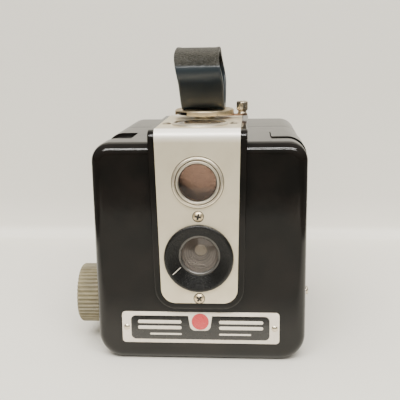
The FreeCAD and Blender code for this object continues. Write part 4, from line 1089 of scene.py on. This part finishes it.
def ribbed_rod(name, centre, radius, start, end, axis, ribs, depth, share=2):
    """A cylinder whose side is cut with fine grooves, four points to each rib."""
    piece = rod(name, centre, radius, start, end, axis, ribs * 4)
    index = "XYZ".index(axis)
    middle = Vector(centre)
    step = 2 * math.pi / (ribs * 4)
    u, w = [i for i in range(3) if i != index]

    def in_groove(v):
        turn = math.atan2(v.co[w] - middle[w], v.co[u] - middle[u])
        return round(turn / step) % 4 >= share

    pick(piece, "VERT", in_groove)
    size = [(radius - depth) / radius] * 3
    size[index] = 1
    bpy.ops.transform.resize(value=size, center_override=middle)
    leave()
    return piece


def push_cap(piece, axis, level, moves, centre):
    """Extrudes an end face through (scale, distance) steps, each round and square to the axis."""
    index = "XYZ".index(axis)
    pick(piece, "FACE", lambda f: abs(f.calc_center_median()[index] - level) < 1e-3)
    for scale, distance in moves:
        shift = [0.0, 0.0, 0.0]
        shift[index] = distance
        bpy.ops.mesh.extrude_region_move(TRANSFORM_OT_translate={"value": shift})
        size = [scale] * 3
        size[index] = 1
        bpy.ops.transform.resize(value=size, center_override=centre)
    leave()
    return piece


class BOXCAM_OT_winding(bpy.types.Operator):
    """Winding knob with its ribbed skirt, and the washer under it"""
    bl_idname = "boxcam.winding"
    bl_label = "Winding knob"

    def execute(self, context):
        outer = low_mm("winding_knob").x
        inner = high_mm("winding_knob").x
        radius = 13.4
        knob = ribbed_rod(
            "winding_knob_ribbed", (0, KNOB.y, KNOB.z), radius, outer + 1.1, inner, "X", 44, 0.75)
        push_cap(knob, "X", outer + 1.1, [
            (0.975, -0.6), (0.965, -0.35), (0.95, -0.15), (0.82, 0.0), (0.985, 0.25),
            (0.99, 0.55), (0.35, 0.0), (0.93, -0.3), (0.6, 0.0), (0.9, 0.2)], (0, KNOB.y, KNOB.z))
        push_cap(knob, "X", inner, [(0.9, 0.0), (0.99, -0.8), (0.5, 0.0)], (0, KNOB.y, KNOB.z))
        round_edges(knob, lambda e: runs_along("X")(e) and sharp(20)(e), 0.12, 2)
        finish(clean(knob), "winder", "knob", ["winding_knob"], angle=40)
        collar = lathe("knob_collar_turned", [
            (2.5, inner), (9.5, inner), (9.5, -HALF_WIDTH - 0.3), (2.5, -HALF_WIDTH - 0.3)],
            (0, KNOB.y, KNOB.z), "X", 0.25)
        finish(collar, "winder", "fibre", ["knob_collar"])
        return {"FINISHED"}


# ---- handle and latch ---------------------------------------------------------------------------

DISC_LOW_Z = low_mm("handle_disc").z
DISC_TOP_Z = high_mm("handle_disc").z
STRAP_HALF = 9.4
STRAP_TOP_Z = high_mm("handle_strap").z
STRAP_THICK = 2.2


def handle_disc():
    """Shallow cap with a rolled rim, its skirt notched at the front left."""
    low = DISC_LOW_Z
    top = DISC_TOP_Z
    outline = [
        (2.0, top - 0.8), (12.6, top - 0.8), (12.6, low), (13.6, low), (13.6, top - 0.55),
        (13.1, top), (12.0, top), (11.6, top - 0.2), (2.0, top - 0.2)]
    piece = lathe("handle_disc_pressed", outline, (0, DISC_Y, 0), "Z", 0.18, 128)
    notch = block("notch", (11.4, -4.9, low - 1), (15, 4.9, top - 0.85))
    notch.rotation_euler.z = math.radians(217)
    notch.location = (0, DISC_Y, 0)
    cut(piece, settle(notch))
    return piece


def strap_lean(z):
    """How far the strap's middle stands to the left at a height: only its upper part leans."""
    rise = min(1.0, max(0.0, (z - 115.0) / 15.0))
    return -2.0 * rise * rise * (3 - 2 * rise)


def strap_path(count):
    """Points on the middle line of the strap's loop, which leans a little to the left as it rises."""
    low = DISC_TOP_Z + STRAP_THICK / 2
    high = STRAP_TOP_Z - STRAP_THICK / 2
    knots = [
        (0, low), (-6.5, low), (-11.0, low + 1.4), (-17.5, 112.5), (-22.6, 118.8), (-23.4, 124.0),
        (-18.5, 128.4), (-6.0, high), (5.5, high - 0.6), (14.0, 126.5), (16.8, 120.0),
        (13.6, 113.0), (9.6, low + 2.6), (5.5, low),
    ]
    total = len(knots)
    points = []
    for i in range(count):
        place = i * total / count
        k = int(place)
        t = place - k
        a, b, c, d = (Vector(knots[(k + n) % total]) for n in (-1, 0, 1, 2))
        spot = (
            b * 2 + (c - a) * t + (a * 2 - b * 5 + c * 4 - d) * t * t
            + (b * 3 - a - c * 3 + d) * t * t * t) / 2
        z = min(spot.y, high)
        points.append(Vector((strap_lean(z) - STRAP_HALF, DISC_Y + spot.x, max(z, low))))
    return points


def handle_strap():
    """A stiff band bent into a loop, with a raised rim along both of its edges."""
    piece = wire("handle_strap_band", strap_path(112), True)
    pick(piece, "EDGE", lambda e: True)
    for step in (0.9, 0.5, 2 * STRAP_HALF - 2.8, 0.5, 0.9):
        bpy.ops.mesh.extrude_region_move(TRANSFORM_OT_translate={"value": (step, 0, 0)})
    leave()
    clean(piece)
    apply_modifier(piece, "SOLIDIFY", thickness=STRAP_THICK - 0.5, offset=0, use_even_offset=True)
    clean(piece)
    pick(piece, "VERT", lambda v: abs(abs(v.co.x - strap_lean(v.co.z)) - STRAP_HALF) < 1.05)
    bpy.ops.transform.shrink_fatten(value=0.22, use_even_offset=True)
    leave()
    round_edges(piece, sharp(60), 0.35, 3)
    cut(piece, block("floor", (-20, DISC_Y - 20, HEIGHT), (20, DISC_Y + 20, DISC_TOP_Z)))
    return piece


class BOXCAM_OT_handle(bpy.types.Operator):
    """Nickel disc, strap, the rivet through them and the latch's finger knob"""
    bl_idname = "boxcam.handle"
    bl_label = "Handle and latch"

    def execute(self, context):
        finish(handle_disc(), "body", "satin_nickel", ["handle_disc"])
        boss = lathe("handle_boss_moulded", [
            (2.2, DISC_LOW_Z + 0.05), (12.35, DISC_LOW_Z + 0.05), (12.35, DISC_TOP_Z - 0.95), (
                2.2, DISC_TOP_Z - 0.95)],
            (0, DISC_Y, 0), "Z", 0.1, 96)
        finish(boss, "body", "bakelite")
        finish(handle_strap(), "body", "strap", ["handle_strap"], angle=50)
        base = DISC_TOP_Z + STRAP_THICK - 0.3
        rivet = lathe("handle_rivet_domed", [
            (0, DISC_TOP_Z - 0.8), (2.0, DISC_TOP_Z - 0.8), (2.0, base), (3.6, base)]
                      + cap(3.55, 1.2, base + 0.15, 1), (0, DISC_Y, 0), "Z", steps=64)
        finish(rivet, "body", "nickel", ["handle_rivet"])
        knob_low = low_mm("latch_knob").z
        knob_top = high_mm("latch_knob").z
        centre = (middle_mm("latch_knob").x, DISC_Y, 0)
        outline = [
            (0, knob_low), (2.2, knob_low), (2.2, knob_low + 0.5), (1.9, knob_low + 0.8),
            (1.9, knob_low + 1.5), (2.65, knob_low + 2.1), (2.65, knob_top - 0.5), (2.2, knob_top),
            (0, knob_top)]
        knob = lathe("latch_knob_turned", outline, centre, "Z", 0.15, 72)
        for i in range(12):
            angle = 2 * math.pi * i / 12
            spot = (centre[0] + 2.95 * math.cos(angle), DISC_Y + 2.95 * math.sin(angle), 0)
            cut(knob, rod("flute", spot, 0.42, knob_low + 1, knob_top - 0.9, "Z", 16))
        finish(knob, "latch", "nickel", ["latch_knob"])
        dress("latch_arm", "copper")
        dress("latch_pivot", "nickel")
        return {"FINISHED"}


class BOXCAM_OT_catch(bpy.types.Operator):
    """Catch strip on the rear shell with its two rivets"""
    bl_idname = "boxcam.catch"
    bl_label = "Catch plate"

    def execute(self, context):
        dress("catch_plate", "steel")
        outline = [(0, HEIGHT + 0.6), (2.2, HEIGHT + 0.6)] + cap(2.2, 0.9, HEIGHT + 0.8, 1)
        first = lathe("catch_rivets_domed", outline, (0, CATCH_RIVET_YS[0], 0), "Z", steps=48)
        second = copy_to(first, "rivet", (0, CATCH_RIVET_YS[1] - CATCH_RIVET_YS[0], 0))
        finish(
            join([first, second], "catch_rivets_domed"), "rear", "nickel",
            ["catch_rivets"])
        return {"FINISHED"}


# ---- flash contacts, window and nameplate -------------------------------------------------------

class BOXCAM_OT_contacts(bpy.types.Operator):
    """Threaded flash socket, its stud and their washers"""
    bl_idname = "boxcam.contacts"
    bl_label = "Flash contacts"

    def execute(self, context):
        x = HALF_WIDTH
        outline = [(1.6, x - 3), (2.6, x - 3), (2.6, x + 0.7), (3.4, x + 0.7), (3.4, x + 2.2)]
        pitch = 0.36
        for i in range(3):
            outline += [(2.6, x + 2.25 + i * pitch), (2.35, x + 2.43 + i * pitch)]
        outline += [(2.55, x + 3.4), (1.8, x + 3.4), (1.6, x + 3.2)]
        socket = lathe("flash_socket_threaded", outline, (0, CONTACT_Y, SOCKET_Z), "X", 0.06, 64)
        finish(socket, "body", "nickel", ["flash_socket"])
        outline = [
            (0, x - 3), (2.6, x - 3), (2.6, x + 0.7), (3.4, x + 0.7), (3.4, x + 1.6), (
                2.0, x + 1.6),
            (2.0, x + 4.2), (1.8, x + 4.65), (1.4, x + 4.8), (0, x + 4.8)]
        stud = lathe("flash_stud_turned", outline, (0, CONTACT_Y, STUD_Z), "X", 0.12, 64)
        finish(stud, "body", "nickel", ["flash_stud"])
        ring = [(2.7, x), (4.2, x), (4.2, x + 0.7), (2.7, x + 0.7)]
        washer = lathe("flash_washers_fibre", ring, (0, CONTACT_Y, SOCKET_Z), "X", 0.12, 64)
        twin = copy_to(washer, "washer", (0, 0, STUD_Z - SOCKET_Z))
        finish(
            join([washer, twin], "flash_washers_fibre"), "body", "fibre",
            ["flash_washers"])
        return {"FINISHED"}


class BOXCAM_OT_window(bpy.types.Operator):
    """Red window of the rear shell"""
    bl_idname = "boxcam.window"
    bl_label = "Red window"

    def execute(self, context):
        y = high_mm("red_window").y
        z = middle_mm("red_window").z
        pane = lathe("red_window_pane", [(0, y - 1.0), (7.45, y - 1.0), (7.45, y - 0.15)] + cap(
            7.3, 0.15, y - 0.15, 1),
                     (0, 0, z), "Y")
        finish(pane, "rear", "red_glass", ["red_window"])
        dress("red_window_retainer", "black_steel")
        return {"FINISHED"}


def rounded_plate(name, low, high, radius, softness):
    """A thin plate with rounded corners and a softened front edge."""
    piece = block(name, low, high)
    round_edges(piece, runs_along("Y"), radius, 6)
    return round_edges(piece, on_plane("Y", low[1]), softness, 2)


def shield(name, y0, y1):
    """The tab of bare border that hangs into the panel: slanted sides and a rounded foot."""
    piece = block(name, (-5.2, y0, 14.0), (5.2, y1, 21.5))
    pick(piece, "VERT", lambda v: v.co.z < 15)
    bpy.ops.transform.resize(value=(0.8, 1, 1), center_override=(0, 0, 0))
    leave()
    return round_edges(piece, lambda e: runs_along("Y")(e) and tips(e)[0].z < 15, 2.0, 8)


class BOXCAM_OT_nameplate(bpy.types.Operator):
    """Nameplate with its black panel, plain bars, red spot and drive pins"""
    bl_idname = "boxcam.nameplate"
    bl_label = "Nameplate"

    def execute(self, context):
        low = low_mm("nameplate")
        high = high_mm("nameplate")
        face = low.y
        plate = rounded_plate("nameplate_pressed", low, high, 1.5, 0.15)
        finish(plate, "body", "name_border", ["nameplate"])
        panel = rounded_plate(
            "nameplate_panel", (-29.6, face - 0.12, 10.0), (29.3, face + 0.05, 20.6), 2.0, 0.05)
        cut(panel, shield("tab", face - 1, face + 1))
        round_edges(
            panel,
            lambda e: runs_along("Y")(e) and sharp(30)(e) and tips(e)[0].z > 20 and abs(tips(e)[0].x) < 7, 0.9, 4)
        finish(panel, "body", "enamel_black", ["nameplate_enamel"])
        bars = []
        # Height, inner end, outer end and half thickness of each row of bars.
        rows = ((17.9, 8.0, 26.6, 0.75), (15.3, 8.0, 26.6, 0.75), (12.4, 8.0, 21.5, 0.4))
        for side in (-1, 1):
            for z, start, end, thick in rows:
                x0, x1 = sorted((side * start, side * end))
                bars.append(rounded_plate(
                    "bar", (x0, face - 0.16, z - thick), (x1, face - 0.05, z + thick), thick * 0.9,
                    0.02))
        finish(join(bars, "nameplate_bars"), "body", "cream")
        dot = lathe("nameplate_spot", [(0, face + 0.05), (3.62, face + 0.05), (3.62, face - 0.2)]
                    + cap(3.55, 0.1, face - 0.2, -1), (0, 0, 18.1), "Y", 0, 96)
        finish(dot, "body", "enamel_red", ["nameplate_dot"])
        pin_x = 31.45
        pin_z = (low.z + high.z) / 2
        first = lathe("nameplate_pins_domed", [(0, face + 0.1), (1.35, face + 0.1)] + cap(
            1.35, 0.6, face, -1),
                      (-pin_x, 0, pin_z), "Y", steps=32)
        second = copy_to(first, "pin", (2 * pin_x, 0, 0))
        finish(
            join([first, second], "nameplate_pins_domed"), "body", "nickel",
            ["nameplate_pins"])
        return {"FINISHED"}


class BOXCAM_OT_release_spring(bpy.types.Operator):
    """Coil spring under the release"""
    bl_idname = "boxcam.release_spring"
    bl_label = "Release spring"

    def execute(self, context):
        wire_radius = 0.22
        turns = 7
        low = low_mm("release_spring")
        high = high_mm("release_spring")
        middle = (low + high) / 2
        coil_radius = (high.x - low.x) / 2 - wire_radius
        length = high.z - low.z
        deselect()
        bpy.ops.mesh.primitive_circle_add(
            vertices=10, radius=wire_radius, location=(coil_radius, 0, 0), rotation=(
                math.pi / 2, 0, 0))
        coil = context.object
        coil.name = "release_spring_coil"
        settle(coil)
        apply_modifier(
            coil, "SCREW", axis="Z", angle=2 * math.pi,
            screw_offset=(length - 2 * wire_radius) / turns,
            iterations=turns, steps=24, render_steps=24)
        coil.location = (middle.x, middle.y, low.z + wire_radius)
        settle(coil)
        pick(coil, "EDGE", lambda e: e.is_boundary)
        bpy.ops.mesh.edge_face_add()
        leave()
        finish(clean(coil), "body", "steel", ["release_spring"])
        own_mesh(coil)
        return {"FINISHED"}


class BOXCAM_OT_inner_pieces(bpy.types.Operator):
    """Materials for the inner pieces that keep the shape of their CAD nodes"""
    bl_idname = "boxcam.inner_pieces"
    bl_label = "Inner pieces"

    def execute(self, context):
        looks = {
            "black_steel": ["light_cone", "film_gate", "carrier_side_left", "carrier_side_right"],
            "housing": ["finder_housing"],
            "barrel": ["shutter_plate"],
            "mirror": ["finder_mirror"],
            "blade": ["shutter_disc", "shutter_drive_pin"],
            "steel": ["shutter_screws", "shutter_spring", "release_link", "time_link",
                      "knob_shaft", "roller_upper", "roller_lower", "spool_pins", "spool_spring"],
            "copper": [
                "shutter_pivot", "shaft_bush", "winding_key", "contact_strip_upper",
                "contact_strip_lower"],
            "spool": ["supply_spool", "takeup_spool"],
        }
        for look, nodes in looks.items():
            for node in nodes:
                if node in bpy.data.objects:
                    dress(node, look)
        return {"FINISHED"}


# ---- the stage ----------------------------------------------------------------------------------

def plain_surface(name, tint, roughness):
    """A matt painted surface with a trace of mottle, solid from its front and clear from behind."""
    surface, tree, shader, place = start(name, {"Roughness": roughness, "IOR": 1.45})
    mottle = noise(tree, place, 60, 4.0)
    darker = tuple(c * 0.96 for c in tint[:3]) + (1.0,)
    base = blend_colours(tree, mottle.outputs["Fac"], tint, darker)
    # Away from the subject the floor and backdrop are painted darker, a painted shade that only reflections and
    # bounced light see.
    spot = add(tree, "ShaderNodeSeparateXYZ", {}, Vector=place)
    front = ramp(tree, spot.outputs["Y"], -0.13, -0.085, 0.42, 1.0)
    far = ramp(tree, spot.outputs["Y"], -0.36, -0.31, 0.1, 1.0)
    across = add(tree, "ShaderNodeMath", {"operation": "ABSOLUTE"})
    tree.links.new(spot.outputs["X"], across.inputs[0])
    side = ramp(tree, across.outputs[0], 0.22, 0.25, 1.0, 0.1)
    wall = ramp(tree, spot.outputs["Z"], 0.005, 0.03, 1.0, 0.6)
    shade = front
    for factor in (far, side, wall):
        shade = combined(tree, "MULTIPLY", shade, factor)
    # The view sees the paint itself; reflections and bounced light see it shaded.
    seen = add(tree, "ShaderNodeLightPath").outputs["Is Camera Ray"]
    upright = ramp(tree, spot.outputs["Z"], 0.005, 0.03, 1.0, 0.88)
    lit = combined(tree, "MAXIMUM", shade, combined(tree, "MULTIPLY", seen, upright))
    shaded = add(tree, "ShaderNodeVectorMath", {"operation": "SCALE"}, Vector=base, Scale=lit)
    tree.links.new(shaded.outputs["Vector"], shader.inputs["Base Color"])
    clear = add(tree, "ShaderNodeBsdfTransparent")
    mix = add(tree, "ShaderNodeMixShader")
    tree.links.new(add(tree, "ShaderNodeNewGeometry").outputs["Backfacing"], mix.inputs[0])
    tree.links.new(shader.outputs["BSDF"], mix.inputs[1])
    tree.links.new(clear.outputs["BSDF"], mix.inputs[2])
    output = next(n for n in tree.nodes if n.type == "OUTPUT_MATERIAL")
    tree.links.new(mix.outputs[0], output.inputs["Surface"])
    return surface


def soft_light(name, place, aim, size, power, tint, mirrored=True):
    """A rectangular light pointed at a spot. Places are in metres."""
    deselect()
    bpy.ops.object.light_add(type="AREA", location=place)
    lamp = bpy.context.object
    lamp.name = name
    lamp.data.shape = "RECTANGLE"
    lamp.data.size = size[0]
    lamp.data.size_y = size[1]
    lamp.data.energy = power
    lamp.data.color = linear(tint)[:3]
    lamp.visible_glossy = mirrored
    lamp.rotation_euler = (Vector(aim) - Vector(place)).to_track_quat("-Z", "Y").to_euler()


def view_camera(context, lens):
    """The view from in front, a little to the right and above, looking slightly down."""
    yaw, pitch, roll = (math.radians(a) for a in (4.31, 12.24, -0.87))
    forward = Vector(
        (-math.sin(yaw) * math.cos(pitch), math.cos(yaw) * math.cos(pitch), -math.sin(pitch)))
    right = Vector((math.cos(yaw), math.sin(yaw), 0))
    up = right.cross(forward)
    tilted_right = math.cos(roll) * right + math.sin(roll) * up
    tilted_up = -math.sin(roll) * right + math.cos(roll) * up
    deselect()
    bpy.ops.object.camera_add(location=(0.02126, FRONT_Y * MM - 0.27334, 0.13021))
    camera = context.object
    camera.name = "view"
    axes = Matrix((tilted_right, tilted_up, -forward)).transposed()
    camera.rotation_euler = axes.to_euler()
    camera.data.lens = lens
    camera.data.sensor_width = 36
    context.scene.camera = camera


def room_light(context):
    """A dim room with a brighter ceiling, which the view itself sees as one pale grey."""
    world = bpy.data.worlds.new("room")
    context.scene.world = world
    world.use_nodes = True
    tree = world.node_tree
    height = add(
        tree, "ShaderNodeSeparateXYZ", {},
        Vector=add(tree, "ShaderNodeTexCoord").outputs["Generated"])
    lift = ramp(tree, height.outputs["Z"], 0.05, 0.75, 0, 1)
    shade = blend_colours(tree, lift, linear("#45443f"), linear("#a19f9b"))
    seen = add(tree, "ShaderNodeLightPath").outputs["Is Camera Ray"]
    tone = blend_colours(tree, seen, shade, linear("#d6d3cd"))
    tree.links.new(tone, tree.nodes["Background"].inputs["Color"])
    tree.nodes["Background"].inputs["Strength"].default_value = 1.0


class BOXCAM_OT_stage(bpy.types.Operator):
    """Floor, backdrop, light and camera"""
    bl_idname = "boxcam.stage"
    bl_label = "Stage"

    def execute(self, context):
        stage = settings("box_stage")
        paint = plain_surface("laminate_sweep_white", tuple(stage.floor), 0.55)
        floor = block("floor", (-2.0, -2.0, -0.02), (2.0, 2.0, 0.0))
        pick(floor, "FACE", lambda f: f.normal.z < 0.5)
        bpy.ops.mesh.delete(type="FACE")
        leave()
        sweep = block("backdrop", (-0.24, 0.05, 0.0), (0.22, 0.15, 0.55))
        pick(
            sweep, "FACE", lambda f: f.normal.z > 0.5 or f.normal.y < -0.5 or abs(f.normal.x) > 0.5)
        bpy.ops.mesh.delete(type="FACE")
        leave()
        round_edges(sweep, lambda e: on_plane("Z", 0.0)(e) and on_plane("Y", 0.15)(e), 0.009, 10)
        sweep.location.z = 0.00005
        settle(sweep)
        pick(sweep, "FACE", lambda f: True)
        bpy.ops.mesh.normals_make_consistent(inside=True)
        leave()
        bpy.ops.object.shade_smooth_by_angle(angle=math.radians(35))
        for surface in (floor, sweep):
            surface.data.materials.append(paint)
        soft_light(
            "ceiling_panel", (-0.1, -0.25, 1.3), (0, 0.05, 0), (1.4, 1.2), 24, "#fffcf5", False)
        soft_light(
            "ceiling_strip_near", (0.0, -0.9, 0.95), (0, 0, 0.05), (1.6, 0.025), 15.0, "#fffefa")
        soft_light(
            "ceiling_strip_far", (0.1, -0.75, 1.15), (0, 0, 0.05), (1.6, 0.025), 15.0, "#fffefa")
        soft_light("front_fill", (0.3, -1.2, 0.5), (0, 0, 0.05), (1.0, 0.8), 6.5, "#fffbf5", False)
        room_light(context)
        view_camera(context, stage.lens)
        return {"FINISHED"}


# ---- panel, registration and main ---------------------------------------------------------------

class BOXCAM_PT_panel(bpy.types.Panel):
    """Sizes and colours, and a button for each piece"""
    bl_idname = "BOXCAM_PT_panel"
    bl_label = "Box camera"
    bl_space_type = "VIEW_3D"
    bl_region_type = "UI"
    bl_category = "Box camera"

    def draw(self, context):
        for name, kind in GROUPS.items():
            box = self.layout.box()
            for key in kind.__annotations__:
                box.prop(getattr(context.scene, name), key)
        for kind in OPERATORS:
            self.layout.operator(kind.bl_idname)


OPERATORS = [
    BOXCAM_OT_stage, BOXCAM_OT_front_shell, BOXCAM_OT_rear_shell, BOXCAM_OT_corner_buttons,
    BOXCAM_OT_faceplate, BOXCAM_OT_finder, BOXCAM_OT_taking_lens, BOXCAM_OT_winding,
    BOXCAM_OT_handle, BOXCAM_OT_catch, BOXCAM_OT_contacts, BOXCAM_OT_window,
    BOXCAM_OT_nameplate, BOXCAM_OT_release_spring, BOXCAM_OT_inner_pieces,
]
GROUPS = {
    "box_shell": ShellSettings, "box_plate": PlateSettings, "box_trim": TrimSettings,
    "box_stage": StageSettings,
}


def register():
    for kind in [*GROUPS.values(), *OPERATORS, BOXCAM_PT_panel]:
        bpy.utils.register_class(kind)
    for name, kind in GROUPS.items():
        setattr(bpy.types.Scene, name, bpy.props.PointerProperty(type=kind))


def unregister():
    for name in GROUPS:
        delattr(bpy.types.Scene, name)
    for kind in reversed([*GROUPS.values(), *OPERATORS, BOXCAM_PT_panel]):
        bpy.utils.unregister_class(kind)


def main():
    register()
    for kind in OPERATORS:
        getattr(bpy.ops.boxcam, kind.bl_idname.split(".")[1])()


if __name__ == "__main__":
    main()
